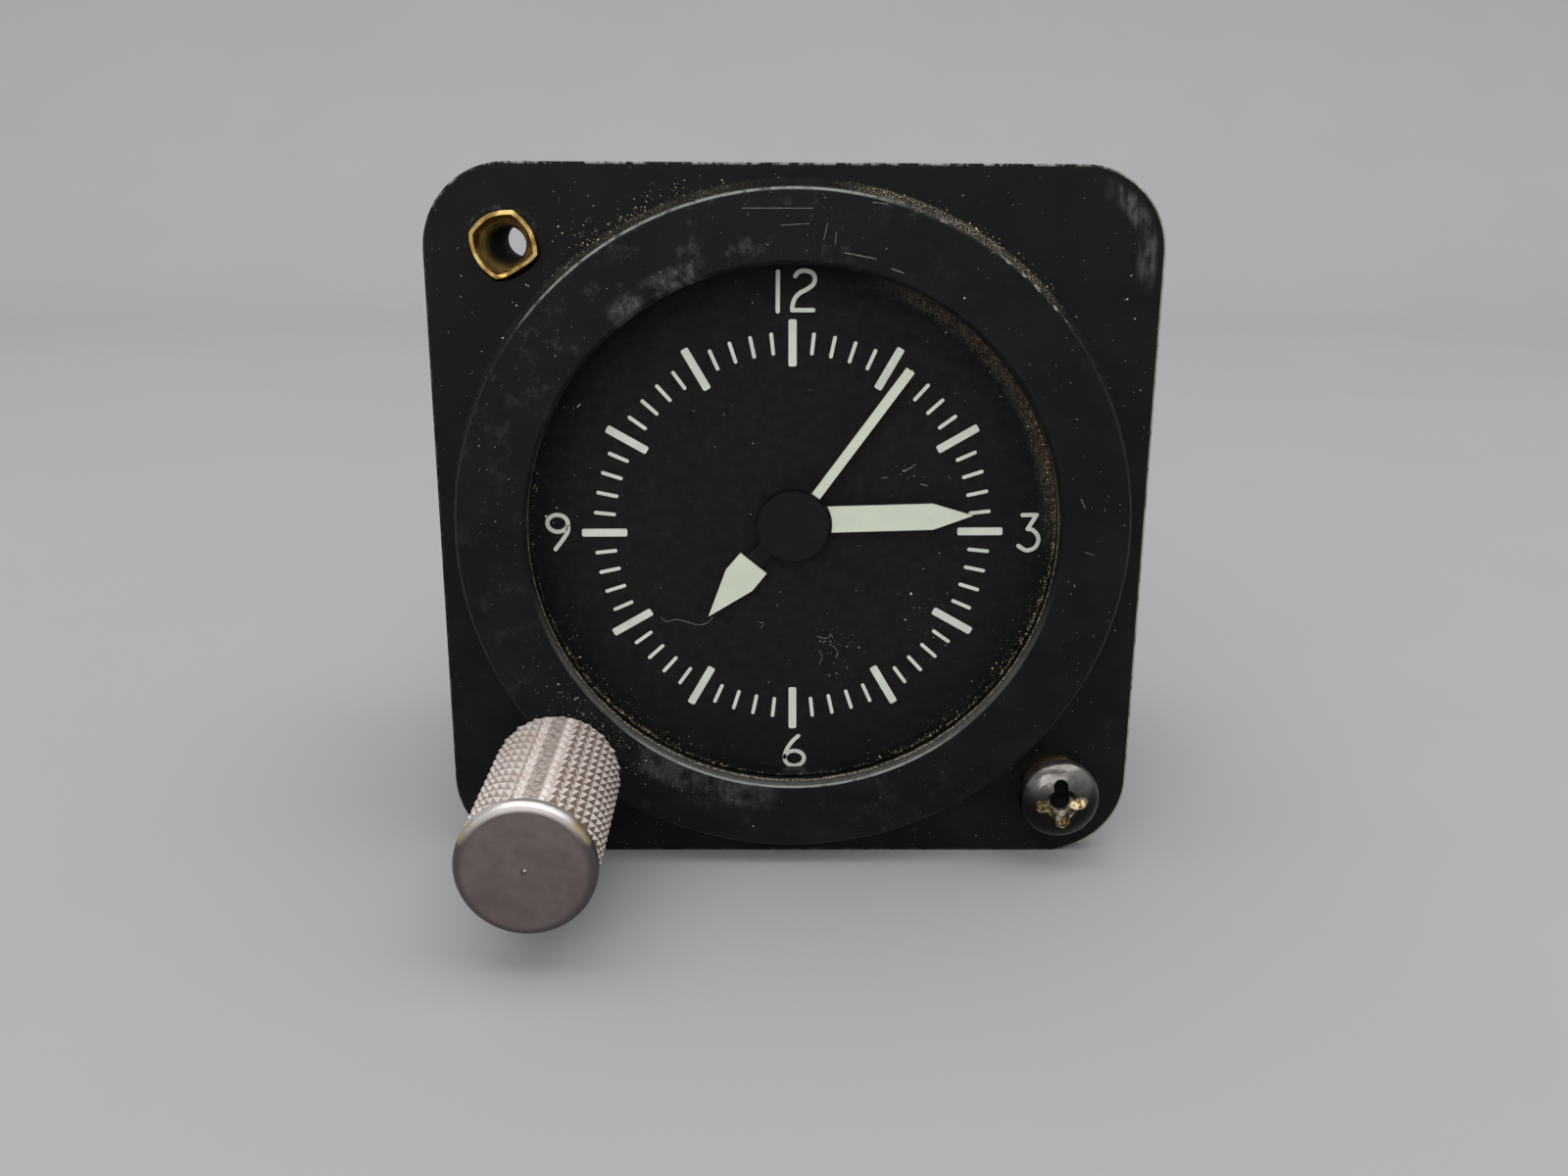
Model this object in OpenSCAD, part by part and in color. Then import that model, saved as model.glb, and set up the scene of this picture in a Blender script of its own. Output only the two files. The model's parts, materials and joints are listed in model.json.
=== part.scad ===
// Panel-mounted aircraft clock with a hand-wound movement.
// Dial faces -Y, up is +Z, and the clock stands on the lower edge of its flange.
// Inside the modules y = 0 is the front of the flange and the dial axis is x = z = 0.

/* [Flange] */
// Width and height of the square flange
flange_w = 60.325; // [54:0.025:68]
// Thickness of the flange
flange_t = 2.4; // [1.6:0.1:3.2]
// Corner radius of the flange
flange_corner = 7; // [3:0.5:8]
// Distance of the mounting holes from the flange edges
hole_edge = 6.59; // [5.5:0.01:7.5]

/* [Bezel ring] */
// Distance from the raised ring, which fills the panel hole, to the flange edges
ring_edge = 1.76; // [1:0.01:3]
// Height of the ring above the flange
ring_h = 2.8; // [2:0.1:3.6]
// Width of the lip that laps over the glass, around the round window
lip_w = 2; // [1.2:0.1:3]
// Thickness of the lip that holds the glass
lip_t = 1.6; // [1.2:0.1:2]
// Width of the bevel around the window
bevel = 0.3; // [0.1:0.1:0.6]

/* [Case] */
// Step from the raised ring in to the round case
case_step = 0.4; // [0.1:0.1:1]
// Wall of the case
case_wall = 1.8; // [1.4:0.1:2]
// Width of the ledge that the dial rests on
ledge_w = 1.6; // [1:0.1:2.4]
// Room between the movement and the end of the case
rear_room = 4.2; // [2.5:0.1:12]
// Thickness of the rear cover
cover_t = 2; // [1.5:0.1:3]
// Thickness of the rear cover gasket
cover_gasket_t = 0.5; // [0.3:0.1:1]
// Radius of the cover screw shanks
cover_screw_r = 1; // [0.8:0.1:1.2]

/* [Glass and dial] */
// Thickness of the glass
glass_t = 1.6; // [1:0.1:2.2]
// Thickness of the gasket in front of the glass
gasket_t = 0.3; // [0.2:0.1:0.6]
// Thickness of the dial plate
dial_t = 0.6; // [0.4:0.1:1]

/* [Hands] */
// Length of the second hand from the axis
second_len = 16.65; // [12:0.1:20]
// Width of the second hand
second_w = 0.83; // [0.6:0.05:1.5]
// Radius of the second hand's boss
hub_r = 3.1; // [2.6:0.1:3.6]
// Length of the minute hand from the axis
minute_len = 15.6; // [12:0.1:20]
// Width of the minute hand
minute_w = 2.3; // [1.2:0.05:3]
// Length of the hour hand from the axis
hour_len = 11.2; // [9:0.1:14]
// Width of the hour hand
hour_w = 3; // [2:0.05:4]
// Thickness of each hand
hand_t = 0.2; // [0.15:0.05:0.3]

/* [Knob] */
// Distance of the knob axis from the left edge of the flange
knob_side = 9.72; // [9:0.02:10.4]
// Distance of the knob axis from the lower edge of the flange
knob_rise = 8.99; // [8.4:0.02:9.6]
// Radius of the knob over the knurl
knob_r = 5.55; // [5:0.05:6]
// Length of the knob
knob_len = 18.8; // [14:0.1:24]
// Radius of the rounded front edge of the knob
knob_round = 0.9; // [0.5:0.1:1.4]
// Depth of the knurl
knurl_depth = 0.4; // [0.2:0.05:0.5]
// Travel of the knob when it is pulled out
knob_pull = 2; // [1.6:0.1:2.4]
// Radius of the stem
stem_r = 1.5; // [1.2:0.05:1.6]

/* [Mounting hardware] */
// Radius of the insert nut in the flange
insert_r = 2.9; // [2.6:0.05:3.2]
// Radius of the insert nut's threaded bore
insert_bore_r = 1.42; // [1.3:0.02:1.5]
// Length of the insert nut behind the flange
insert_tail = 8.1; // [6:0.1:9]
// Length of the insert nut's squeezed mouth in front of the flange
mouth_h = 0.9; // [0.5:0.1:1.4]
// Radius of the mounting screw's head
screw_head_r = 3.55; // [3.2:0.05:3.8]
// Height of the mounting screw's head
screw_head_h = 2.4; // [1.8:0.1:3]
// Gap left under the mounting screw's head
screw_gap = 1.5; // [0.5:0.1:2]
// Length of the mounting screw under its head
screw_len = 9; // [6:0.5:14]

/* [Movement] */
// Thickness of the movement plates
plate_t = 1.6; // [1.2:0.1:2]
// Thickness of the train wheels
wheel_t = 0.8; // [0.5:0.1:1]
// Height of the mainspring barrel
barrel_h = 7.8; // [6:0.2:9]
// Radius of the pillars between the plates
pillar_r = 1.3; // [1:0.1:1.5]
// Radius of the balance
balance_r = 7; // [5:0.5:7.4]
// Radial running clearance of the pivots
pivot_gap = 0.05; // [0.03:0.01:0.08]

/* [Hidden] */
$fn = 48;

// Small overlap that keeps cuts clean
eps = 0.02;
// Clearance of pieces that are pressed or laid into a seat
seat_gap = 0.05;
// Clearance of pieces that drop into the case
slip_gap = 0.2;
// Gap between neighbouring wheels or hands
level_gap = 0.2;
hand_gap = 0.25;
// Gap between the hour hand and the dial
dial_gap = 0.5;

// Colours
black = [0.05, 0.055, 0.05];
nickel = [0.62, 0.58, 0.56];
brass = [0.72, 0.56, 0.28];
steel = [0.66, 0.67, 0.69];
rubber = [0.1, 0.1, 0.1];
pale = [0.86, 0.89, 0.84];

// Layers of the face, from the glass to the dial
glass_y = lip_t + gasket_t - ring_h;
glass_back = glass_y + glass_t;
second_y = glass_back + 0.3;
minute_y = second_y + hand_t + hand_gap;
hour_y = minute_y + hand_t + hand_gap;
dial_y = hour_y + hand_t + dial_gap;
dial_back = dial_y + dial_t;

// Layers of the motion work between the dial and the front plate
hour_wheel_t = 0.6;
motion_t = 1;
winding_t = 1.2;
hour_wheel_y = dial_back + level_gap;
motion_y = hour_wheel_y + hour_wheel_t + level_gap;
setting_y = motion_y + knob_pull;
winding_y = setting_y + motion_t + 2 * level_gap;
plate_y = winding_y + winding_t + 2 * level_gap;
plate_back = plate_y + plate_t;

// Layers of the going train between the plates
great_t = 1.4;
barrel_y = plate_back + 0.6;
barrel_back = barrel_y + barrel_h;
centre_y = barrel_back + 0.6;
third_y = centre_y + wheel_t + 4 * level_gap;
fourth_y = third_y + wheel_t + 4 * level_gap;
rear_y = fourth_y + wheel_t + 1.2;
rear_back = rear_y + plate_t;

// Layers of the escapement behind the back plate
escape_t = 0.6;
roller_t = 0.6;
balance_t = 0.9;
hairspring_t = 0.4;
cock_t = 1.2;
escape_y = rear_back + 1.4;
roller_y = escape_y + escape_t + 2 * level_gap;
escape_cock_y = roller_y + level_gap;
balance_y = escape_cock_y + cock_t + 2 * level_gap;
hairspring_y = balance_y + balance_t + 2 * level_gap;
cock_y = hairspring_y + hairspring_t + 3 * level_gap;

// Plane where the case is brazed to the flange, and the end of the case
joint_y = max(flange_t, dial_y);
case_end = cock_y + cock_t + rear_room;

// Radii from the flange in to the window
ring_r = flange_w / 2 - ring_edge;
case_r = ring_r - case_step;
bore_r = case_r - case_wall;
seat_r = bore_r - ledge_w;
glass_r = seat_r - slip_gap;
window_r = glass_r - lip_w;
inner_r = bore_r - slip_gap;
ring_wall = 2;
rear_plate_r = bore_r - 2.4;

// Gear teeth: pressure angle, tip and root heights and thinning, in modules
pressure = 25;
tip_h = 0.8;
root_h = 1.15;
thinning = 0.08;
// The setting pinion slides into mesh, so its teeth are thinner
setting_thinning = 0.24;

// The movement is drawn for this bore and grows with the case
drawn_bore = 26.2;
grow = bore_r / drawn_bore;

// Tooth counts and modules
winding_m = 0.4 * grow;
stem_n = 24;
winding_n = 20;
ratchet_n = 45;
setting_n = 36;
cannon_n = 10;
minute_n = 30;
minute_pinion_n = 10;
hour_n = 40;
barrel_m = 0.3 * grow;
barrel_n = 70;
centre_pinion_n = 12;
centre_m = 0.25 * grow;
centre_n = 80;
third_pinion_n = 10;
third_n = 75;
fourth_pinion_n = 10;
fourth_m = 0.2 * grow;
fourth_n = 80;
escape_pinion_n = 10;
escape_n = 15;

// Arbors, in the plane of the dial
stem_at = [knob_side - flange_w / 2, knob_rise - flange_w / 2];
stem_angle = atan2(stem_at[1], stem_at[0]);
barrel_at = polar(barrel_m * (barrel_n + centre_pinion_n) / 2, 255);
motion_d = winding_m * (cannon_n + minute_n) / 2;
minute_at = polar(motion_d, 190);
hour_m = 2 * motion_d / (minute_pinion_n + hour_n);
winding_at = meet(stem_at, winding_m * (stem_n + winding_n) / 2,
                  barrel_at, winding_m * (winding_n + ratchet_n) / 2, 1);
setting_at = meet(stem_at, winding_m * (stem_n + setting_n) / 2,
                  minute_at, winding_m * (setting_n + minute_n) / 2, -1);
third_d = centre_m * (centre_n + third_pinion_n) / 2;
third_at = polar(third_d, 60);
third_m = 2 * third_d / (third_n + fourth_pinion_n);
escape_at = polar(fourth_m * (fourth_n + escape_pinion_n) / 2, 330);
lever_angle = 100;
escape_r = 4 * grow;
pallet_at = escape_at + polar(escape_r / cos(30) + 0.13, lever_angle);
balance_at = pallet_at + polar(7.5 * grow, lever_angle);

// Radii of arbors, pipes and posts
arbor_r = 0.6;
second_arbor_r = 0.5;
centre_arbor_r = 1.2;
cannon_r = 1.7;
hour_pipe_r = 2.15;
barrel_arbor_r = 1.5;
barrel_tail_r = 1;
post_r = 0.8;
staff_r = 0.4;

// Phases that bring the teeth into mesh
winding_phase = mesh_phase(bearing(stem_at, winding_at), 0, stem_n, winding_n);
ratchet_phase = mesh_phase(bearing(winding_at, barrel_at), winding_phase, winding_n, ratchet_n);
minute_phase = mesh_phase(bearing([0, 0], minute_at), 0, cannon_n, minute_n);
hour_phase = mesh_phase(bearing(minute_at, [0, 0]), minute_phase, minute_pinion_n, hour_n);
setting_phase = mesh_phase(bearing(minute_at, setting_at), minute_phase, minute_n, setting_n);
setting_pinion_phase = mesh_phase(bearing(setting_at, stem_at), setting_phase, setting_n, stem_n);
centre_pinion_phase = mesh_phase(bearing(barrel_at, [0, 0]), 0, barrel_n, centre_pinion_n);
third_phase = mesh_phase(bearing([0, 0], third_at), 0, centre_n, third_pinion_n);
fourth_phase = mesh_phase(bearing(third_at, [0, 0]), third_phase, third_n, fourth_pinion_n);
escape_phase = mesh_phase(bearing([0, 0], escape_at), 0, fourth_n, escape_pinion_n);

// Stem, bush and pocket
bush_r = 2.6;
stem_pinion_r = winding_m * (stem_n / 2 + tip_h);
pocket_r = stem_pinion_r + 0.4;
pocket_y = max(dial_back, flange_t) + 0.6;
pocket_back = winding_y + winding_t + 2 * level_gap;
boss_r = pocket_r + 1.3;
stem_tail = pocket_back + knob_pull + 1.6;
boss_back = stem_tail + 1.6;
knob_back = -ring_h - 0.15;
knob_front = knob_back - knob_len;
knob_socket = 8;

// Ratchet click, set on the gap of the ratchet wheel nearest to the right
ratchet_r = winding_m * (ratchet_n / 2 + tip_h);
click_angle = ratchet_phase + 360 / ratchet_n * (0.5 - round(ratchet_phase * ratchet_n / 360));
click_lift = 0.12;
click_reach = 5;
beak_at = barrel_at + polar(ratchet_r + click_lift, click_angle);
click_at = beak_at + polar(click_reach, click_angle - 90) + polar(0.9, click_angle);

// Fasteners and their places
hole_at = flange_w / 2 - hole_edge;
insert_places = [[-hole_at, hole_at], [hole_at, -hole_at]];
mouth_turn = 30;
pillar_d = bore_r - 4.6;
screw_reach = 4;
pillar_places = [for (a = [95, 193, 325]) polar(pillar_d, a)];
lug_r = 2.2;
lug_d = bore_r - lug_r + 0.6;
lug_h = 6;
lug_places = [for (a = [30, 150, 270]) polar(lug_d, a)];
foot_r = 1.8;
escape_foot_at = escape_at + polar(escape_r + foot_r + 0.6, 290);
balance_foot_at = balance_at + polar(balance_r + 3.2, 60);

// The part stands on the middle of its lower edge
cover_back = case_end + cover_gasket_t + cover_t;
depth_mid = (knob_front + cover_back) / 2;

// Vector of length r at angle a
function polar(r, a) = [r * cos(a), r * sin(a)];

// Angle from p to q
function bearing(p, q) = atan2(q[1] - p[1], q[0] - p[0]);

// Point at distance a from p and b from q, on the chosen side of the line
function meet(p, a, q, b, side) =
    let (d = norm(q - p))
    let (u = (q - p) / d)
    let (along = (a * a - b * b + d * d) / (2 * d))
    p + along * u + side * sqrt(a * a - along * along) * [-u[1], u[0]];

// Phase of a gear of n2 teeth that meshes with one of n1 teeth, seen from it at angle t
function mesh_phase(t, phase, n1, n2) = t + 180 - 180 / n2 + (t - phase) * n1 / n2;

// Involute angle in degrees
function involute(a) = tan(a) * 180 / PI - a;

// Half the angle that a tooth fills at radius r
function tooth_half(r, n, m, thin) =
    let (pitch_r = n * m / 2)
    let (a = acos(min(1, pitch_r * cos(pressure) / r)))
    90 / n - thin * m / pitch_r * 180 / PI + involute(pressure) - involute(a);

// Outline of a gear with n teeth of module m; small pinions get curved flanks
function gear_points(n, m, thin) =
    let (root = m * (n / 2 - root_h))
    let (tip = m * (n / 2 + tip_h))
    let (radii = n > 40 ? [root, tip] : [root, m * n / 2, tip])
    let (last = len(radii) - 1)
    let (halves = [for (r = radii) tooth_half(r, n, m, thin)])
    [for (i = [0:n - 1]) for (k = [0:2 * last + 1])
        let (j = k <= last ? k : 2 * last + 1 - k)
        let (side = k <= last ? -1 : 1)
        polar(radii[j], i * 360 / n + side * halves[j])];

// Outline of a flat spiral strip from r0 to r1
function spiral_points(r0, r1, turns, strip, steps) =
    let (count = turns * steps)
    let (path = [for (i = [0:count]) [r0 + (r1 - r0) * i / count, i * 360 / steps]])
    concat([for (p = path) polar(p[0] - strip / 2, p[1])],
           [for (i = [count:-1:0]) polar(path[i][0] + strip / 2, path[i][1])]);

// Flat shape drawn in the plane of the dial, from y to y + h
module slab(y, h) {
    translate([0, y + h, 0]) rotate([90, 0, 0]) linear_extrude(h) children();
}

// Round rod along the dial axis at p, from y0 to y1
module rod(p, y0, y1, r) {
    translate([p[0], y0, p[1]]) rotate([-90, 0, 0]) cylinder(r = r, h = y1 - y0);
}

// Turned shape along the dial axis at p, from points of radius and y
module turned(p, points) {
    translate([p[0], 0, p[1]]) rotate([-90, 0, 0]) rotate_extrude() polygon(points);
}

// Tube along the dial axis at p
module tube(p, y0, y1, outer, inner) {
    difference() {
        rod(p, y0, y1, outer);
        rod(p, y0 - eps, y1 + eps, inner);
    }
}

// Toothed disc at p
module gear(p, y, h, n, m, phase, thin = thinning) {
    slab(y, h) translate(p) rotate(phase) polygon(gear_points(n, m, thin));
}

// Toothed wheel with crossings between its hub and its rim
module spoked_wheel(p, y, h, n, m, phase, hub, spokes) {
    rim = m * (n / 2 - root_h) - 1;
    spoke_w = 1;
    difference() {
        gear(p, y, h, n, m, phase);
        difference() {
            tube(p, y - eps, y + h + eps, rim, hub);
            for (i = [0:spokes - 1])
                slab(y - 2 * eps, h + 4 * eps) translate(p) rotate(phase + i * 360 / spokes)
                    translate([0, -spoke_w / 2]) square([rim + 1, spoke_w]);
        }
    }
}

// Straight bar in the plane of the dial, from p to q
module bar(p, q, w) {
    translate(p) rotate(bearing(p, q)) translate([0, -w / 2]) square([norm(q - p), w]);
}

// Square with bowed sides, for the squeezed mouth of an insert nut
module bowed_square(corner_r) {
    bow_r = 1.5 * corner_r;
    offset_d = sqrt(bow_r * bow_r - corner_r * corner_r / 2) - corner_r / sqrt(2);
    intersection_for (a = [0:90:270])
        rotate(a) translate([offset_d, 0]) circle(bow_r);
}

// Rounded square of the flange
module rounded_square(w, r) {
    square([w, w - 2 * r], center = true);
    square([w - 2 * r, w], center = true);
    for (x = [-1, 1]) for (z = [-1, 1])
        translate([x * (w / 2 - r), z * (w / 2 - r)]) circle(r);
}

// Moves a piece from the flange's frame to the part's own frame
module place() {
    translate([0, -depth_mid, flange_w / 2]) children();
}

// Square flange with its raised bezel ring
module bezel() {
    color(black) place() difference() {
        union() {
            slab(0, flange_t) rounded_square(flange_w, flange_corner);
            turned([0, 0], [
                [0, -ring_h], [ring_r - bevel, -ring_h], [ring_r, -ring_h + bevel], [ring_r, eps],
                [case_r, eps], [case_r, joint_y], [0, joint_y]
            ]);
        }
        turned([0, 0], [
            [0, -ring_h - eps], [window_r + bevel + eps, -ring_h - eps], [window_r, -ring_h + bevel],
            [window_r, lip_t - ring_h], [seat_r, lip_t - ring_h], [seat_r, dial_y],
            [bore_r, dial_y], [bore_r, joint_y + eps], [0, joint_y + eps]
        ]);
        rod(stem_at, -ring_h - eps, joint_y + eps, bush_r + seat_gap);
        for (p = insert_places)
            slab(-eps, flange_t + 2 * eps) translate(p) rotate(mouth_turn) bowed_square(insert_r + seat_gap);
    }
}

// Round case behind the flange, with the stem boss and the lugs of the rear cover
module case_can() {
    color(black) place() difference() {
        union() {
            rod([0, 0], joint_y, case_end, case_r);
            rod(stem_at, joint_y, boss_back, boss_r);
        }
        rod([0, 0], joint_y - eps, case_end - lug_h, bore_r);
        difference() {
            rod([0, 0], case_end - lug_h - eps, case_end + eps, bore_r);
            for (p = lug_places) rod(p, case_end - lug_h, case_end + 2 * eps, lug_r);
        }
        for (p = lug_places) rod(p, case_end - lug_h + 1, case_end + eps, cover_screw_r + seat_gap);
        rod(stem_at, pocket_y, pocket_back, pocket_r);
        slab(pocket_y, pocket_back - pocket_y) rotate(stem_angle)
            translate([bore_r - 2, -pocket_r]) square([norm(stem_at) - bore_r + 2, 2 * pocket_r]);
        rod(stem_at, joint_y - eps, pocket_y + eps, bush_r + seat_gap);
        rod(stem_at, pocket_back - eps, stem_tail + 0.4, stem_r + pivot_gap);
    }
}

// Gasket between the lip and the glass
module glass_gasket() {
    color(rubber) place() tube([0, 0], lip_t - ring_h, glass_y, glass_r, window_r + 0.2);
}

// Flat front glass
module glass() {
    color([0.9, 0.95, 0.95, 0.3]) place() rod([0, 0], glass_y, glass_back, glass_r);
}

// Ring that keeps the glass clear of the hands
module glass_spacer() {
    color(black) place() tube([0, 0], glass_back, dial_y, glass_r, window_r + 0.6);
}

// Dial plate
module dial() {
    color(black) place() tube([0, 0], dial_y, dial_back, inner_r, hour_pipe_r + 0.25);
}

// Ring behind the dial, with the stud of the setting wheel
module movement_ring() {
    tab_t = hour_wheel_t + level_gap - pivot_gap;
    gap_span = [184, 268];
    color(brass) place() {
        difference() {
            tube([0, 0], dial_back, plate_y, inner_r, inner_r - ring_wall);
            slab(dial_back + tab_t, plate_y) polygon([
                [0, 0], polar(2 * bore_r, gap_span[0]),
                polar(2 * bore_r, (gap_span[0] + gap_span[1]) / 2), polar(2 * bore_r, gap_span[1])
            ]);
        }
        slab(dial_back, tab_t) {
            bar(setting_at, setting_at * (inner_r - ring_wall / 2) / norm(setting_at), 3);
            translate(setting_at) circle(1.5);
        }
        rod(setting_at, dial_back + tab_t - eps, motion_y + motion_t + level_gap, post_r);
    }
}

// Threaded ring that clamps the movement into the case
module retaining_ring() {
    notch_w = 2;
    color(brass) place() difference() {
        tube([0, 0], plate_back, plate_back + 2, inner_r, inner_r - 2.4);
        for (a = [0, 180])
            slab(plate_back + 1, 1 + eps) rotate(a)
                translate([inner_r - 3, -notch_w / 2]) square([4, notch_w]);
    }
}

// Gasket under the rear cover
module cover_gasket() {
    color(rubber) place() difference() {
        tube([0, 0], case_end, case_end + cover_gasket_t, case_r, bore_r);
        for (p = lug_places)
            rod(p, case_end - eps, case_end + cover_gasket_t + eps, cover_screw_r + slip_gap);
    }
}

// Flat rear cover with a shallow raised middle
module rear_cover() {
    y0 = case_end + cover_gasket_t;
    spigot_r = lug_d - lug_r - 0.5;
    color(black) place() difference() {
        turned([0, 0], [
            [0, case_end - 0.6], [spigot_r, case_end - 0.6], [spigot_r, y0], [case_r, y0],
            [case_r, cover_back - 0.5], [case_r - 0.5, cover_back], [spigot_r - 4, cover_back],
            [spigot_r - 5, cover_back - 0.6], [0, cover_back - 0.6]
        ]);
        for (p = lug_places) {
            rod(p, y0 - eps, cover_back + eps, cover_screw_r + slip_gap);
            rod(p, cover_back - 0.9, cover_back + eps, 2 * cover_screw_r + slip_gap);
        }
    }
}

// Three cheese-head screws of the rear cover
module cover_screws() {
    head_y = cover_back - 0.9;
    color(steel) place() for (p = lug_places) difference() {
        union() {
            rod(p, case_end - lug_h + 1.5, head_y + eps, cover_screw_r);
            rod(p, head_y, cover_back, 2 * cover_screw_r);
        }
        slab(cover_back - 0.4, 0.4 + eps) translate(p)
            square([5 * cover_screw_r, 0.5], center = true);
    }
}

// Two brass insert nuts with squeezed square mouths
module insert_nuts() {
    mouth_wall = 0.35;
    mouth_floor = -mouth_h + 0.55;
    throat_r = insert_r - 0.8;
    collar_r = insert_r + 0.5;
    collar_t = 1.2;
    barrel_r = insert_bore_r + 1;
    color(brass) place() for (p = insert_places) difference() {
        union() {
            slab(-mouth_h, mouth_h + flange_t + eps) translate(p) rotate(mouth_turn) bowed_square(insert_r);
            rod(p, flange_t, flange_t + collar_t, collar_r);
            rod(p, flange_t, flange_t + insert_tail, barrel_r);
        }
        slab(-mouth_h - eps, mouth_floor + mouth_h + eps) translate(p) rotate(mouth_turn)
            bowed_square(insert_r - mouth_wall);
        turned(p, [[0, -mouth_h], [throat_r, -mouth_h], [throat_r, mouth_floor], [insert_bore_r, flange_t],
                   [insert_bore_r, flange_t + insert_tail + eps], [0, flange_t + insert_tail + eps]]);
    }
}

// Pan-head screw left in the lower right insert nut
module mounting_screw() {
    p = insert_places[1];
    under = -mouth_h - screw_gap;
    top = under - screw_head_h;
    crown = screw_head_h * 0.72;
    recess_w = 1.05;
    recess_l = 3.9;
    recess_turn = 6;
    shank_r = insert_bore_r - 0.02;
    color(black) place() difference() {
        turned(p, concat(
            [[0, top]],
            [for (a = [10:10:90]) [screw_head_r * sin(a), top + crown * (1 - cos(a))]],
            [[screw_head_r, under - 0.3], [screw_head_r - 0.3, under], [shank_r, under],
             [shank_r, under + screw_len - 0.6], [shank_r - 0.6, under + screw_len], [0, under + screw_len]]
        ));
        for (a = [0, 90])
            slab(top - eps, 1.2) translate(p) rotate(recess_turn + a) {
                square([recess_l - recess_w, recess_w], center = true);
                for (side = [-1, 1]) translate([side * (recess_l - recess_w) / 2, 0]) circle(recess_w / 2);
            }
        turned(p, [[0, top - eps], [1.25, top - eps], [1.25, top + 0.1], [0.55, top + 1.5], [0, top + 1.9]]);
    }
}

// Brass bush that guides the stem
module stem_bush() {
    color(brass) place() tube(stem_at, -ring_h + 0.2, pocket_y - 0.1, bush_r, stem_r + pivot_gap);
}

// Knurled sleeve of pyramids, staggered from column to column, closed at both ends, from y = 0 to y = length
module knurl(r, depth, length, columns, rows, turn) {
    base_r = r - depth;
    half = length / (2 * rows);
    spot = function (i, j, r) [r * cos(turn + i * 360 / columns), j * half, r * sin(turn + i * 360 / columns)];
    cells = [for (i = [0:columns - 1]) each i % 2 == 0
        ? [for (k = [0:rows - 1]) [i, 2 * k, 2 * k + 2]]
        : concat([[i, 0, 1]], [for (k = [0:rows - 2]) [i, 2 * k + 1, 2 * k + 3]], [[i, 2 * rows - 1, 2 * rows]])];
    points = concat(
        [for (j = [0:2 * rows]) for (i = [0:columns - 1]) spot(i, j, base_r)],
        [for (c = cells) spot(c[0] + 0.5, (c[1] + c[2]) / 2, c[2] - c[1] == 2 ? r : r - depth / 2)]
    );
    apex0 = (2 * rows + 1) * columns;
    corner = function (i, j) j * columns + i % columns;
    sides = [for (n = [0:len(cells) - 1])
        let (i = cells[n][0], first = cells[n][1], last = cells[n][2])
        let (rim = concat([corner(i, first)], [for (j = [first:last]) corner(i + 1, j)],
                          [for (j = [last:-1:first + 1]) corner(i, j)]))
        each [for (k = [0:len(rim) - 1]) [rim[k], rim[(k + 1) % len(rim)], apex0 + n]]];
    back = [for (i = [columns - 1:-1:0]) corner(i, 0)];
    front = [for (i = [0:columns - 1]) corner(i, 2 * rows)];
    polyhedron(points, concat(sides, [back, front]));
}

// Winding knob: knurled barrel, smooth rounded front edge and flat face
module knob() {
    columns = 42;
    rows = 13;
    knurl_turn = 2;
    pip_r = 0.25;
    knurl_end = knob_front + 1.3;
    core_r = knob_r - 2 * knurl_depth;
    color(nickel) place() difference() {
        union() {
            translate([stem_at[0], knurl_end, stem_at[1]])
                knurl(knob_r, knurl_depth, knob_back - knurl_end, columns, rows, knurl_turn);
            turned(stem_at, concat(
                [[0, knob_front]],
                [for (a = [0:15:90])
                    [knob_r - knob_round + knob_round * sin(a), knob_front + knob_round * (1 - cos(a))]],
                [[knob_r, knurl_end - 0.15], [core_r, knurl_end + 0.1], [core_r, knurl_end + 2], [0, knurl_end + 2]]
            ));
        }
        rod(stem_at, knob_back - knob_socket, knob_back + eps, stem_r + seat_gap);
        rod(stem_at, knob_front - eps, knob_front + 0.15, pip_r);
    }
}

// Stem from the knob through the bush to its tail bearing
module stem() {
    color(steel) place() rod(stem_at, knob_back - knob_socket + 0.3, stem_tail, stem_r);
}

// Pinion on the stem that meets the setting wheel when the knob is pulled
module setting_pinion() {
    color(steel) place() difference() {
        gear(stem_at, setting_y, motion_t, stem_n, winding_m, setting_pinion_phase,
             setting_thinning);
        rod(stem_at, setting_y - eps, setting_y + motion_t + eps, stem_r + seat_gap);
    }
}

// Pinion that the stem turns and slides through
module winding_pinion() {
    color(steel) place() difference() {
        union() {
            gear(stem_at, winding_y, winding_t, stem_n, winding_m, 0);
            rod(stem_at, winding_y, pocket_back - 0.1, stem_r + 0.9);
        }
        rod(stem_at, winding_y - eps, pocket_back, stem_r + pivot_gap);
    }
}

// Idler between the winding pinion and the ratchet wheel
module winding_wheel() {
    color(steel) place() difference() {
        gear(winding_at, winding_y, winding_t, winding_n, winding_m, winding_phase);
        rod(winding_at, winding_y - eps, winding_y + winding_t + eps, post_r + pivot_gap);
    }
}

// Ratchet wheel on the barrel arbor
module ratchet_wheel() {
    color(steel) place() difference() {
        gear(barrel_at, winding_y, winding_t, ratchet_n, winding_m, ratchet_phase);
        rod(barrel_at, winding_y - eps, winding_y + winding_t + eps, barrel_arbor_r + seat_gap);
    }
}

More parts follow.
